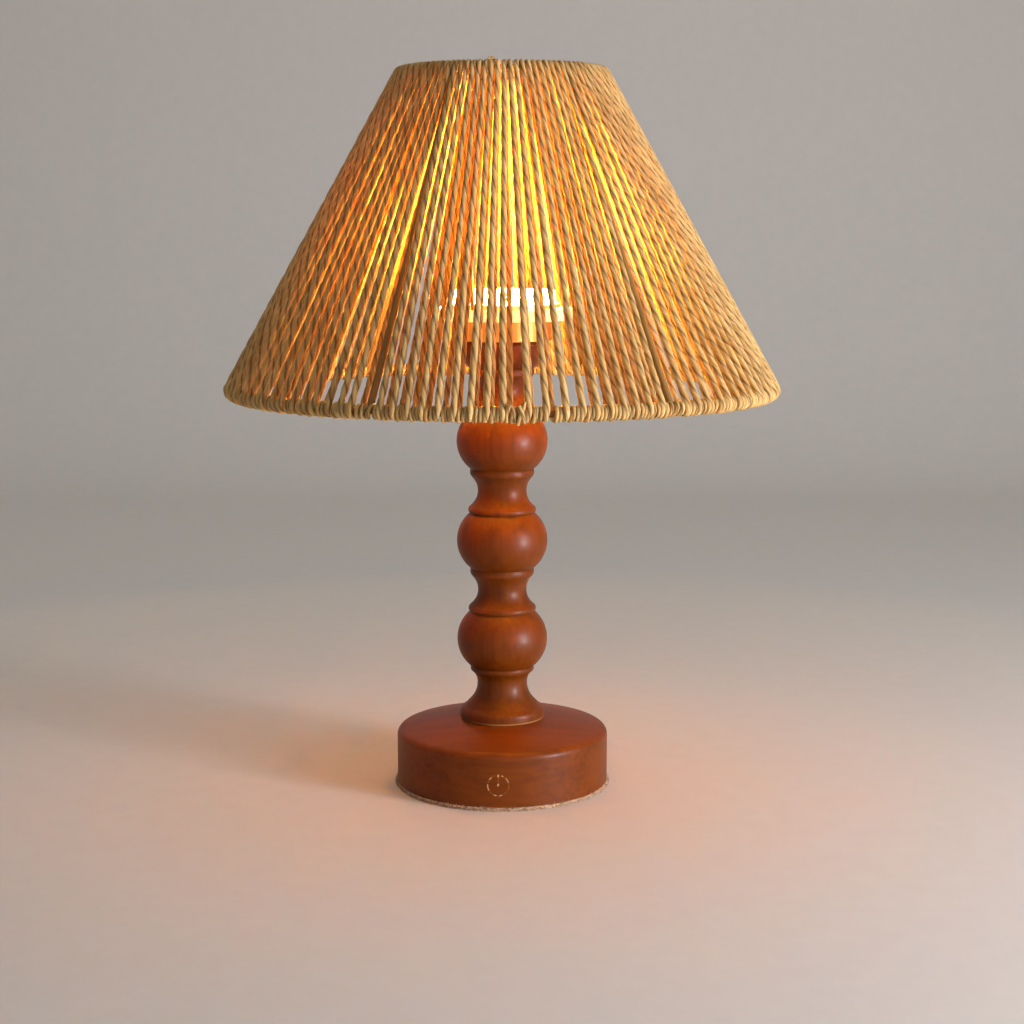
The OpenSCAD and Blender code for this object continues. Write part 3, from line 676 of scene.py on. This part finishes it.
def fuzz_recipe() -> Recipe:
    """Builds the tree that covers the sides of a surface with short bent fibres.

    Returns:
        The recipe, with the inputs Density, Length, Thickness, Seed and Material.
    """
    steepest, lean, shortest = 0.8, 0.5, 0.4
    recipe = Recipe("felt_fuzz")
    density = recipe.size("Density", "Float", 1.0e6)
    length = recipe.size("Length", "Float", 0.8 * MM)
    thickness = recipe.size("Thickness", "Float", 0.06 * MM)
    seed = recipe.size("Seed", "Int", 3)
    material = recipe.size("Material", "Material")
    skin = recipe.source.outputs["Geometry"]
    normal = recipe.add("GeometryNodeInputNormal").outputs["Normal"]
    facing = recipe.add("ShaderNodeSeparateXYZ", {0: normal})
    upright = recipe.maths("LESS_THAN", recipe.maths("ABSOLUTE", facing.outputs["Z"]), steepest)
    spots = {"Mesh": skin, "Selection": upright, "Density": density, "Seed": seed}
    points = recipe.add("GeometryNodeDistributePointsOnFaces", spots)
    bend = {"Resolution": 3, "Start": (0, 0, 0), "Start Handle": (0, 0, 0.4), "End Handle": (0.3, 0, 0.7),
            "End": (0.8, 0, 0.8)}
    arc = recipe.add("GeometryNodeCurvePrimitiveBezierSegment", bend)
    ring = recipe.add("GeometryNodeCurvePrimitiveCircle", {"Resolution": 3, "Radius": 1.0})
    sweep = {"Curve": arc.outputs["Curve"], "Scale": recipe.maths("DIVIDE", thickness, length),
             "Profile Curve": ring.outputs["Curve"], "Fill Caps": True}
    fibre = recipe.add("GeometryNodeCurveToMesh", sweep)
    tilts = {"Seed": seed, "Min": (-lean, -lean, 0.0), "Max": (lean, lean, math.tau)}
    spin = recipe.add("FunctionNodeRandomValue", tilts, data_type="FLOAT_VECTOR")
    turns = {"Rotation": points.outputs["Rotation"], "Rotate By": spin.outputs["Value"]}
    turned = recipe.add("FunctionNodeRotateEuler", turns, rotation_type="EULER", space="LOCAL")
    spread = recipe.add("FunctionNodeRandomValue", {2: shortest, 3: 1.0, "Seed": seed}, data_type="FLOAT")
    reach = recipe.maths("MULTIPLY", spread.outputs[1], length)
    tufts = {"Points": points.outputs["Points"], "Instance": fibre.outputs["Mesh"],
             "Rotation": turned.outputs["Rotation"], "Scale": reach}
    fuzz = recipe.add("GeometryNodeInstanceOnPoints", tufts)
    both = recipe.add("GeometryNodeJoinGeometry")
    recipe.tree.links.new(skin, both.inputs["Geometry"])
    recipe.tree.links.new(fuzz.outputs["Instances"], both.inputs["Geometry"])
    real = recipe.add("GeometryNodeRealizeInstances", {"Geometry": both.outputs["Geometry"]})
    point = recipe.add("GeometryNodeInputPosition").outputs["Position"]
    place = recipe.add("ShaderNodeSeparateXYZ", {0: point})
    height = recipe.maths("MAXIMUM", place.outputs["Z"], 0.0)
    above = recipe.add("ShaderNodeCombineXYZ", {0: place.outputs["X"], 1: place.outputs["Y"], 2: height})
    lift = {"Geometry": real.outputs["Geometry"], "Position": above.outputs[0]}
    laid = recipe.add("GeometryNodeSetPosition", lift)
    recipe.end(laid.outputs["Geometry"], material)
    return recipe


@dataclass(frozen=True)
class AreaLamp:
    """One soft area light."""

    name: str
    place: Triple
    aim: Triple
    size: Pair
    power: float
    colour: Colour

    def hang(self) -> None:
        """Hangs the light so that it faces its aim."""
        data = bpy.data.lights.new(self.name, "AREA")
        data.shape = "RECTANGLE"
        data.size, data.size_y = self.size
        data.energy = self.power
        data.color = self.colour
        lamp = link(self.name, data)
        lamp.location = self.place
        lamp.rotation_euler = (Vector(self.aim) - Vector(self.place)).to_track_quat("-Z", "Y").to_euler()


@dataclass
class Studio:
    """Camera, lights, pale floor and backdrop."""

    distance: float = 1.029
    height: float = 0.3072
    aside: float = 0.0054
    pitch: float = 81.401
    lens: float = 66.80
    pale: Colour = paint(232, 228, 222)
    soft: Colour = (1.0, 0.97, 0.94)
    soft_strength: float = 0.13
    seen_strength: float = 0.36
    floor_half: float = 3.0
    floor_front: float = -4.0
    floor_back: float = 1.6
    backdrop_top: float = 3.0
    sweep_r: float = 0.5
    sweep_steps: int = 12
    lamps: tuple[AreaLamp, ...] = (
        AreaLamp("key_window", (1.0, -0.65, 0.32), (0.0, 0.0, 0.16), (0.45, 0.46), 9.0, (0.95, 0.94, 1.0)),
        AreaLamp("window_pane", (0.98, -0.63, 0.12), (0.0, 0.0, 0.06), (0.18, 0.2), 7.5, (0.95, 0.93, 1.0)),
        AreaLamp("front_fill", (-0.1, -1.5, 0.45), (0.0, 0.0, 0.2), (0.9, 0.9), 1.4, (1.0, 0.95, 0.9)),
        AreaLamp("top_soft", (0.0, 0.3, 2.6), (0.0, 0.3, 0.0), (2.6, 2.6), 12.0, (1.0, 0.97, 0.94)))

    def build(self) -> None:
        """Builds the studio round the lamp."""
        self._camera()
        self._world()
        self._stage()
        for lamp in self.lamps:
            lamp.hang()

    def _camera(self) -> None:
        """Places the camera as the photograph's stood."""
        data = bpy.data.cameras.new("camera")
        data.sensor_width = 36.0
        data.lens = self.lens
        data.clip_end = 20.0
        camera = link("camera", data)
        camera.location = (self.aside, -self.distance, self.height)
        camera.rotation_euler = (math.radians(self.pitch), 0.0, 0.0)
        bpy.context.scene.camera = camera

    def _world(self) -> None:
        """Lights softly all round and shows a pale background."""
        world = bpy.data.worlds.new("studio")
        world.use_nodes = True
        bpy.context.scene.world = world
        wiring = Wiring(world.node_tree)
        soft = wiring.tree.nodes["Background"]
        soft.inputs["Color"].default_value = (*self.soft, 1.0)
        soft.inputs["Strength"].default_value = self.soft_strength
        pale = {"Color": (*self.pale, 1.0), "Strength": self.seen_strength}
        seen = wiring.add("ShaderNodeBackground", pale)
        rays = wiring.add("ShaderNodeLightPath").outputs
        shown = rays["Is Camera Ray"]
        for kind in ("Is Glossy Ray", "Is Transmission Ray"):
            shown = wiring.maths("MAXIMUM", shown, rays[kind])
        mix = wiring.add("ShaderNodeMixShader", {0: shown, 1: soft.outputs[0], 2: seen.outputs[0]})
        wiring.tree.links.new(mix.outputs[0], wiring.tree.nodes["World Output"].inputs["Surface"])

    def _stage(self) -> None:
        """Lays a floor that sweeps up into a backdrop."""
        profile = [(self.floor_front, 0.0)]
        for i in range(self.sweep_steps + 1):
            turn = math.pi / 2 * i / self.sweep_steps
            profile.append((self.floor_back - self.sweep_r * (1 - math.sin(turn)),
                            self.sweep_r * (1 - math.cos(turn))))
        profile.append((self.floor_back, self.backdrop_top))
        mesh = bpy.data.meshes.new("floor")
        verts = [(x, y, z) for y, z in profile for x in (-self.floor_half, self.floor_half)]
        faces = [(2 * i, 2 * i + 1, 2 * i + 3, 2 * i + 2) for i in range(len(profile) - 1)]
        mesh.from_pydata(verts, [], faces)
        mesh.polygons.foreach_set("use_smooth", [True] * len(faces))
        mesh.materials.append(Moulded("pale_floor", self.pale, roughness=0.8, mottle=0.02).build())
        link("floor", mesh)


@dataclass
class Base:
    """Turned base with its felt and touch mark."""

    nodes: dict[str, Object]
    radius: float = 58.25 * MM
    felt_past: float = 0.5 * MM
    felt_t: float = 2.0 * MM
    felt_edge: float = 0.45 * MM
    felt_belly: float = 0.1 * MM
    felt_wave: float = 0.35 * MM
    felt_hub: float = 0.3
    felt_steps: int = 240
    felt_seed: int = 11
    felt_ragged: Pair = (-1.0, 0.4)
    mark_z: float = 14.2 * MM
    mark_r: float = 5.6 * MM
    mark_aside: float = -1.9 * MM
    line: float = 0.62 * MM
    lift: float = 0.1 * MM
    # Stretches of the ring in degrees from the top: plain gold first, then those with a painted glint
    dull_arcs: tuple[Pair, ...] = (
        (34, 43), (78, 112), (120, 150), (178, 187), (212, 236), (280, 297), (328, 345))
    painted_glint_arcs: tuple[Pair, ...] = (
        (18, 30), (45, 75), (156, 174), (190, 208), (240, 276), (302, 322))
    arc_step: float = 5.0
    pinch: float = 0.8
    # Stretches of the bar, plain gold or with a painted glint, as heights and half widths in millimetres
    bar: tuple[tuple[Leaf, tuple[Pair, ...]], ...] = (
        (Leaf.GLINT, ((6.0, 0.3), (5.4, 0.5), (4.6, 0.4))),
        (Leaf.DULL, ((4.3, 0.3), (2.6, 0.34), (1.5, 0.25))),
        (Leaf.GLINT, ((1.1, 0.2), (0.5, 0.5), (0.0, 0.5), (-0.4, 0.2))))
    # Plain gold, then a pale gold for the painted glints
    gold: tuple[tuple[str, Colour], ...] = (
        ("dull_gold", paint(146, 102, 44)), ("painted_glint_gold", paint(236, 204, 146)))

    def build(self) -> None:
        """Dresses the base and adds its felt and mark."""
        dress(self.nodes["base_block"], LacqueredWood("base_wood", Grain.ACROSS).build())
        self._felt()
        self._mark()

    def _felt(self) -> None:
        """Replaces the felt's solid with a soft-edged disc and its fuzz."""
        radius, thick, edge = self.radius + self.felt_past, self.felt_t, self.felt_edge
        hub, waist = self.felt_hub * radius, radius - self.felt_belly
        rows = [(hub, 0.0), (radius - edge, 0.0), (waist, edge), (radius, thick / 2), (waist, thick - edge),
                (radius - edge, thick), (hub, thick)]
        turns = [math.tau * i / self.felt_steps for i in range(self.felt_steps)]
        rng = random.Random(self.felt_seed)
        body = bmesh.new()
        rings = []
        for r, z in rows:
            wave = self.felt_wave if r >= waist else 0.0
            rings.append([body.verts.new(((r + wave * rng.uniform(*self.felt_ragged)) * math.cos(a),
                                          (r + wave * rng.uniform(*self.felt_ragged)) * math.sin(a), z))
                          for a in turns])
        for face in loft(body, rings):
            face.smooth = True
        body.faces.new(list(reversed(rings[0])))
        body.faces.new(rings[-1])
        core = solid(body, "felt_core")
        piece = fuzz_recipe().apply(core, "felt_disc", {
            "Density": 6.0e6, "Length": 1.2 * MM, "Thickness": 0.09 * MM, "Seed": 5,
            "Material": Felt().build()})
        seat(piece, Body.LAMP, "felt", "felt_pad")

    def _on_side(self, across: float, up: float, out: float) -> Triple:
        """Puts a point of the flat mark on the base's round front.

        Args:
            across: Distance to the right, along the side.
            up: Height above the mark's middle.
            out: Distance out of the side.

        Returns:
            The point.
        """
        turn = (across + self.mark_aside) / self.radius
        reach = self.radius + out
        return reach * math.sin(turn), -reach * math.cos(turn), self.mark_z + up

    def _strip(self, body: bmesh.types.BMesh, edges: list[tuple[Pair, ...]], leaf: Leaf) -> None:
        """Adds a thin inlaid strip.

        Args:
            body: The mesh.
            edges: Left and right points of the strip, from end to end, in the flat mark.
            leaf: Whether it is plain gold or carries a painted glint.
        """
        rows = []
        for left, right in edges:
            corners = ((left, -1), (left, 1), (right, 1), (right, -1))
            rows.append([body.verts.new(self._on_side(*place, way * self.lift)) for place, way in corners])
        faces = loft(body, rows)
        faces += [body.faces.new(rows[0]), body.faces.new(list(reversed(rows[-1])))]
        for face in faces:
            face.material_index = leaf.value

    def _mark(self) -> None:
        """Adds the gold touch mark: a broken ring, open at the top, and an upright bar, some stretches with
        a painted glint.
        """
        body = bmesh.new()
        for start, end in sorted(self.dull_arcs + self.painted_glint_arcs):
            steps = max(2, round((end - start) / self.arc_step))
            edges = []
            for i in range(steps + 1):
                turn = math.radians(start + (end - start) * i / steps)
                half = (self.pinch if i in (0, steps) else 1.0) * self.line / 2
                edges.append(tuple((r * math.sin(turn), r * math.cos(turn))
                                   for r in (self.mark_r - half, self.mark_r + half)))
            self._strip(body, edges, Leaf.GLINT if (start, end) in self.painted_glint_arcs else Leaf.DULL)
        for leaf, widths in self.bar:
            self._strip(body, [((-w * MM, z * MM), (w * MM, z * MM)) for z, w in widths], leaf)
        piece = solid(body, "touch_mark")
        for name, colour in self.gold:
            # On the mark the darker patches are painted light, standing for the glints that the gold misses
            metal = TurnedMetal(name, colour, 0.34, (900.0, 900.0, 900.0), stain_and_glint=0.8, dulling=0.6,
                                stain_and_glint_scale=700.0)
            piece.data.materials.append(metal.build())
        seat(piece, Body.LAMP, "brass")


@dataclass
class TurnedStem:
    """The bobbin stem as it leaves the lathe, with the soft edges that sanding and lacquer give it."""

    seat_z: float
    bore_r: float = 5.3
    first_bead: float = 44.2
    pitch: float = 54.8
    beads: int = 3
    bead_r: float = 24.8
    bead_round: float = 19.5
    bead_half: float = 15.0
    crown: float = 2.5
    crease: float = 40.0
    segments: int = 128
    bead_steps: int = 24
    span_steps: int = 4
    crown_step: int = 15
    foot: tuple[Pair, ...] = (
        (23.0, 0.0), (23.3, 0.6), (23.4, 2.4), (23.2, 4.2), (22.8, 5.0), (21.9, 5.7), (20.5, 6.7),
        (18.8, 8.5), (17.0, 10.4), (15.4, 12.7), (14.3, 15.4), (13.8, 18.2), (13.8, 20.4), (14.3, 22.6),
        (15.3, 24.4), (16.5, 25.7), (17.3, 26.5), (17.5, 27.4), (17.4, 28.5), (17.1, 29.0))
    spool: tuple[Pair, ...] = (
        (17.6, 15.25), (18.2, 15.7), (18.5, 16.5), (18.5, 17.4), (18.1, 18.3), (17.2, 19.1), (15.7, 20.7),
        (14.4, 22.7), (13.6, 24.9), (13.3, 27.25), (13.6, 29.8), (14.4, 32.0), (15.5, 33.8), (16.6, 35.2),
        (17.3, 36.2), (17.5, 37.2), (17.5, 38.5), (17.2, 39.5))

    def _bead(self, middle: float, top: float) -> list[Pair]:
        """Side of one bead from its lower edge up to a height above its middle."""
        heights = np.linspace(-self.bead_half, top, self.bead_steps)
        return [(self.bead_r - self.bead_round + math.sqrt(self.bead_round ** 2 - z * z), middle + z)
                for z in heights]

    def profile(self) -> np.ndarray:
        """Draws the stem's side from the seat to the top.

        Returns:
            Radius and height of each point, in millimetres.
        """
        side = list(rounded(np.array(self.foot), self.span_steps))
        for i in range(self.beads):
            middle = self.first_bead + i * self.pitch
            side += self._bead(middle, self.bead_half)
            side += [(r, middle + z) for r, z in rounded(np.array(self.spool), self.span_steps)]
        middle = self.first_bead + self.beads * self.pitch
        side += self._bead(middle, -self.crown)
        rim = side[-1][0] - self.crown
        for turn in range(self.crown_step, 91, self.crown_step):
            angle = math.radians(turn)
            side.append((rim + self.crown * math.cos(angle),
                         middle - self.crown + self.crown * math.sin(angle)))
        return np.array([(float(r), float(z)) for r, z in side])

    def build(self, wood: Material) -> Object:
        """Turns the profile round the lamp's axis.

        Args:
            wood: The stem's material.

        Returns:
            The piece.
        """
        side = self.profile()
        loop = [(self.bore_r, side[0][1]), *map(tuple, side), (self.bore_r, side[-1][1])]
        turns = [math.tau * i / self.segments for i in range(self.segments)]
        body = bmesh.new()
        rings = [[body.verts.new((r * MM * math.cos(a), r * MM * math.sin(a), self.seat_z + z * MM))
                  for a in turns] for r, z in loop]
        for face in loft(body, [*rings, rings[0]]):
            face.smooth = True
        bmesh.ops.recalc_face_normals(body, faces=body.faces)
        for edge in body.edges:
            edge.smooth = edge.calc_face_angle(0.0) < math.radians(self.crease)
        piece = solid(body, "turned_stem")
        piece.data.materials.append(wood)
        return piece


@dataclass
class Column:
    """Stem, rod, head and the electrics inside."""

    nodes: dict[str, Object]
    foot_z: float = 37.3 * MM
    lead_r: float = 0.8 * MM
    led_lead_r: float = 1.2 * MM
    routes: dict[str, Points] = field(default_factory=lambda: {
        "battery_lead": [(8, 24.41, 9.5), (8, 26.26, 9.5), (8, 28.26, 11.6), (8, 30.11, 11.6)],
        "touch_lead": [(-2, -52.75, 14.2), (-4, -50.75, 13.7), *arc(47.25, 8.6, range(20, 141, 15)),
                       (-16, 39.26, 8.6), (-8, 41.26, 9.3), (-4, 41.26, 9.9)],
        "led_lead": [(4, 35.96, 12.5), (4, 35.96, 14.4), (4, 31.26, 17.45), (4, 26.26, 16.95),
                     (2, 10, 16.45), (1, 5, 16.45), (0, 1, 18.4), (0, 0, 21.4), (0, 0, 123),
                     (0, 0, 265.25)],
    })

    def build(self, cord: Recipe) -> None:
        """Dresses the column.

        Args:
            cord: The tree that also makes the round leads.
        """
        wood = LacqueredWood("stem_wood", Grain.UPRIGHT, pale_band_z=self.foot_z).build()
        dress(self.nodes["stem"], wood)
        seat(TurnedStem(self.foot_z).build(wood), Body.LAMP, "wood", "stem")
        finishes = {
            TurnedMetal("brass", paint(250, 196, 110), 0.36, (8.0, 8.0, 600.0), stain_and_glint=0.1): ("head_cup",),
            TurnedMetal("steel", paint(176, 176, 180), 0.34, (300.0, 300.0, 300.0)): (
                "rod", "base_washer", "base_nut", "cup_nut", "cover_screws", "board_screws", "grub_screws",
                "led_screws", "charge_socket"),
            TurnedMetal("satin_aluminium", paint(214, 212, 208), 0.4): ("led_housing",),
            TurnedMetal("copper", paint(200, 128, 90), 0.35): ("touch_pad",),
            Moulded("black_plastic", paint(30, 30, 32), 0.5): ("bottom_cover", "port_bezel"),
            Moulded("solder_mask", paint(24, 82, 48), 0.4, 0.3): ("control_board",),
            Moulded("white_mask", paint(238, 236, 228), 0.45, 0.06): ("led_board",),
            Moulded("blue_film", paint(40, 72, 140), 0.35, 0.25): ("battery_pack",),
            Moulded("foam", paint(216, 214, 206), 0.9, 0.15, 0.3 * MM, fineness=600.0): ("battery_pad",),
            OpalLight("lit_chip", glow=20.0): ("led_chips",),
            OpalLight("lit_diffuser", glow=560.0): ("diffuser",),
            # Painted light: the dish is no lamp, and its glow stands in for the light that falls on it.
            OpalLight("dish_painted_glow", glow=0.9, tint=paint(255, 206, 120)): ("dish",),
        }
        for finish, names in finishes.items():
            material = finish.build()
            for name in names:
                dress(self.nodes[name], material)
        insulation = Moulded("lead_insulation", paint(168, 40, 36), 0.45, 0.2).build()
        for name, route in self.routes.items():
            radius = self.led_lead_r if name == "led_lead" else self.lead_r
            points = rounded(np.array(route, float) * MM)
            path = polyline(name + "_path", [(points, np.full(len(points), radius))])
            piece = cord.apply(path, "round_" + name, {
                "Lay": 1.0, "Groove": 0.0, "Sides": 10, "Step": 1.5 * MM, "Material": insulation})
            seat(piece, Body.LAMP, "lead", name)


@dataclass
class Shade:
    """Wire frame and the cord that is strung on it, bay by bay."""

    nodes: dict[str, Object]
    bays: int = 6
    loops: int = 19
    drop_arms: int = 3
    strut_turn: float = -25.5
    top_r: float = 53.6 * MM
    top_z: float = 385.4 * MM
    bottom_r: float = 144.9 * MM
    bottom_z: float = 219.6 * MM
    wire_r: float = 1.4 * MM
    run_r: float = 1.85 * MM
    foot_r: float = 1.75 * MM
    head_r: float = 1.4 * MM
    wrap_r: float = 1.22 * MM
    slack: float = 0.2 * MM
    inner_share: float = 0.86
    lay: float = 22.0 * MM
    groove: float = 0.24
    uneven: float = 0.22
    tint_step: float = 0.37
    end_r: float = 1.0 * MM
    run_steps: int = 24
    sway: float = 0.35 * MM
    swell_share: float = 0.06
    wrap_step: float = 15.0
    fade: float = 120.0
    seed: int = 40
    inside: float = 180.0
    tied: float = 450.0
    turns: float = 1080.0
    last_turns: float = 780.0
    head_steps: int = 12
    beside: float = 0.36
    tail: float = 0.8
    jitter: float = 0.5
    head_lead: Pair = (0.05, 0.3)
    landing: Pair = (0.12, 0.3)
    busy_place: int = 8
    busy_turns: float = 1800.0
    bare_place: int = 10
    bare_landing: float = 0.42
    front_ends: tuple[Points, ...] = (
        [(1.05, 2.4, -3.6), (1.15, 3.4, 0.0), (1.4, 3.8, 3.2), (1.85, 3.8, 4.6), (2.3, 3.8, 3.2),
         (2.5, 3.4, 0.0), (2.6, 2.4, -3.6)],
        [(3.1, 2.6, -4.6), (3.35, 3.8, -2.2), (3.75, 4.3, 1.2), (4.2, 3.9, 4.4), (4.35, 3.2, 6.0)],
        [(4.35, 3.0, -3.8), (4.1, 4.2, -1.0), (3.7, 5.2, 1.6), (3.3, 4.8, 4.4)])
    top_end: tuple[Triple, ...] = ((-6.6, 20, 0.0), (-5.4, 62, 0.5), (-4.2, 96, 0.6), (-3.2, 140, 0.2))
    front_shift: tuple[float, ...] = (
        -0.3, -0.6, -0.9, -1.03, -1.03, -1.03, -1.03, -1.03, -1.03, 0.6, 0.9, 1.6, 1.7, 1.5, 1.2, 0.8,
        0.5, 0.3, 0.1)

    def build(self, cord: Recipe) -> None:
        """Dresses the frame and strings the cord.

        Args:
            cord: The tree that lays twisted cord along a path.
        """
        # One wire paint in two copies: the darker one, on the rings, carrier and arms, is painted shade; the
        # struts get the tan one
        wire = Moulded("wire_painted_shade", paint(132, 84, 46), 0.42, 0.25, fineness=1500.0).build()
        tan = Moulded("tan_wire", paint(150, 112, 54), 0.5, 0.25, fineness=1500.0).build()
        arms = [f"drop_arm_{i + 1}" for i in range(self.drop_arms)]
        for name in ("top_ring", "bottom_ring", "carrier_ring", *arms):
            dress(self.nodes[name], wire)
        for i in range(self.bays):
            dress(self.nodes[f"strut_{i + 1}"], tan)
        paper = PaperCord().build()
        for bay in range(self.bays):
            ends = self._ends() if bay == 0 else []
            path = polyline(f"bay_path_{bay + 1}", [self._bay_path(bay), *ends])
            piece = cord.apply(path, f"strung_cord_{bay + 1}", {
                "Lay": -self.lay, "Groove": self.groove, "Sides": 10, "Step": 1.2 * MM,
                "Uneven": self.uneven, "Tint": self.tint_step * bay, "Material": paper})
            nodes = [f"cord_bay_{bay + 1}"] + (["cord_wraps"] if bay == 0 else [])
            seat(piece, Body.SHADE, "cord", *nodes)

    @property
    def pitch(self) -> float:
        """Degrees from one place of the cord to the next."""
        return 360 / self.bays / (self.loops + 1)

    @property
    def tilt(self) -> float:
        """Angle between the wall and the upright, in radians."""
        return math.atan2(self.bottom_r - self.top_r, self.top_z - self.bottom_z)

    def _round_ring(self, ring_r: float, ring_z: float, azimuth: float, turn: float,
                    reach: float) -> np.ndarray:
        """Finds a point beside a ring's wire.

        Args:
            ring_r: The ring's radius.
            ring_z: The ring's height.
            azimuth: Degrees from the front towards the right.
            turn: Degrees round the wire, from square out of the shade's wall.
            reach: Distance from the wire's middle.

        Returns:
            The point.
        """
        angle = math.radians(turn) + self.tilt
        radius = ring_r + reach * math.cos(angle)
        a = math.radians(azimuth)
        return np.array([radius * math.sin(a), -radius * math.cos(a), ring_z + reach * math.sin(angle)])

    def _bottom(self, azimuth: float, turn: float, cord_r: float) -> Station:
        """A point of the cord on the bottom ring and its radius there."""
        reach = self.wire_r + self.slack + cord_r
        return self._round_ring(self.bottom_r, self.bottom_z, azimuth, turn, reach), cord_r

    def _top(self, azimuth: float, turn: float) -> Station:
        """A point of the cord on the top ring and its radius there."""
        reach = self.wire_r + self.head_r
        return self._round_ring(self.top_r, self.top_z, azimuth, turn, reach), self.head_r

    def _wraps(self, start: Pair, end: Pair, cut: bool = False, first: bool = False) -> list[Station]:
        """Winds the cord round the bottom ring.

        Args:
            start: Azimuth and turn where the winding starts.
            end: Azimuth and turn where it ends.
            cut: Whether the cord ends here.
            first: Whether the cord begins here.

        Returns:
            Points with their radii.
        """
        out = []
        steps = max(4, round(abs(end[1] - start[1]) / self.wrap_step))
        for i in range(steps + 1):
            share = i / steps
            turn = start[1] + share * (end[1] - start[1])
            azimuth = start[0] + share * (end[0] - start[0])
            radius = self.wrap_r
            for loose, past in ((first, turn - start[1]), (cut, end[1] - turn)):
                if not loose and past < self.fade:
                    radius += (self.foot_r - self.wrap_r) * (1 - past / self.fade)
            out.append(self._bottom(azimuth, turn, radius))
        return out

    def _run(self, start: Station, end: Station, up: bool, rng: random.Random) -> list[Station]:
        """Draws the cord along the wall, nearly straight.

        Args:
            start: First point and radius.
            end: Last point and radius.
            up: Whether it runs up.
            rng: Source of the small unevenness.

        Returns:
            Points with their radii, without the two ends.
        """
        out = []
        sway = [rng.uniform(-self.sway, self.sway) for _ in range(2)]
        along = np.cross((end[0] - start[0]) / np.linalg.norm(end[0] - start[0]), (0.0, 0.0, 1.0))
        side = along / np.linalg.norm(along)
        for i in range(1, self.run_steps):
            share = i / self.run_steps
            height = share if up else 1 - share
            radius = self.run_r + (self.head_r - self.run_r) * height
            swell = min(1.0, height / self.swell_share)
            radius = (self.foot_r + (radius - self.foot_r) * swell) * (1.0 if up else self.inner_share)
            bow = sway[0] * math.sin(math.pi * share) + sway[1] * math.sin(math.tau * share)
            out.append((start[0] + share * (end[0] - start[0]) + bow * side, radius))
        return out

    def _ends(self) -> list[Path]:
        """Draws the cord's knotted ends: a small loop and two ends at the front, and one over the top ring.

        Returns:
            Points and radii of each short path.
        """
        out = []
        for end in self.front_ends:
            points = np.array([((self.bottom_r + reach * MM) * math.sin(math.radians(azimuth)),
                                -(self.bottom_r + reach * MM) * math.cos(math.radians(azimuth)),
                                self.bottom_z + up * MM) for azimuth, reach, up in end])
            out.append(rounded(points))
        over = self.wire_r + 2 * self.head_r
        knot = [self._round_ring(self.top_r, self.top_z, azimuth, turn, over + lift * MM)
                for azimuth, turn, lift in self.top_end]
        out.append(rounded(np.array(knot)))
        return [(points, np.full(len(points), self.end_r)) for points in out]

    def _bay_path(self, bay: int) -> Path:
        """Strings one bay: wraps, then up, over the top ring, down inside and round the bottom ring.

        Args:
            bay: The bay's number, from 0.

        Returns:
            Points and radii of the cord's path.
        """
        rng = random.Random(self.seed + bay)
        strut = self.strut_turn + 360 / self.bays * bay
        front = bay == 0
        shift = self.front_shift
        if not front:
            shift = [rng.uniform(-self.jitter, self.jitter) for _ in range(self.loops)]
        low = [strut + self.pitch * (k + 1) + shift[k] for k in range(self.loops)]
        low.append(strut + (self.loops + self.tail) * self.pitch)
        high = [strut + 360 / self.bays * (k + 0.5) / self.loops for k in range(self.loops)]
        beside = self.beside * self.pitch
        tie = (strut + beside, self.tied)
        path = self._wraps((strut - 0.5 * beside, self.inside), tie, cut=True, first=True)
        path += self._wraps(tie, (low[0], self.turns), first=True)[1:]
        for k in range(self.loops):
            path += self._run(path[-1], self._top(high[k], 0.0), True, rng)
            lead = rng.uniform(*self.head_lead) * self.pitch
            path += [self._top(high[k] + lead * i / self.head_steps, self.inside * i / self.head_steps)
                     for i in range(self.head_steps + 1)]
            landing, turns = rng.uniform(*self.landing), self.turns
            if front and k == self.bare_place:
                landing = self.bare_landing
            if front and k == self.busy_place:
                turns = self.busy_turns
            last = k + 1 == self.loops
            start = low[k] + landing * (low[k + 1] - low[k])
            end = (low[k + 1], self.last_turns if last else turns)
            wound = self._wraps((start, self.inside), end, cut=last)
            path += self._run(path[-1], wound[0], False, rng)
            path += wound
        return np.array([point for point, _ in path]), np.array([radius for _, radius in path])


def main() -> None:
    """Builds the lamp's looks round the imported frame."""
    logging.basicConfig(level=logging.INFO, format="%(name)s: %(message)s")
    bpy.context.scene.view_settings.view_transform = "Standard"
    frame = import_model()
    Studio().build()
    cord = cord_recipe()
    Base(frame["nodes"]).build()
    Column(frame["nodes"]).build(cord)
    Shade(frame["nodes"]).build(cord)


if __name__ == "__main__":
    main()
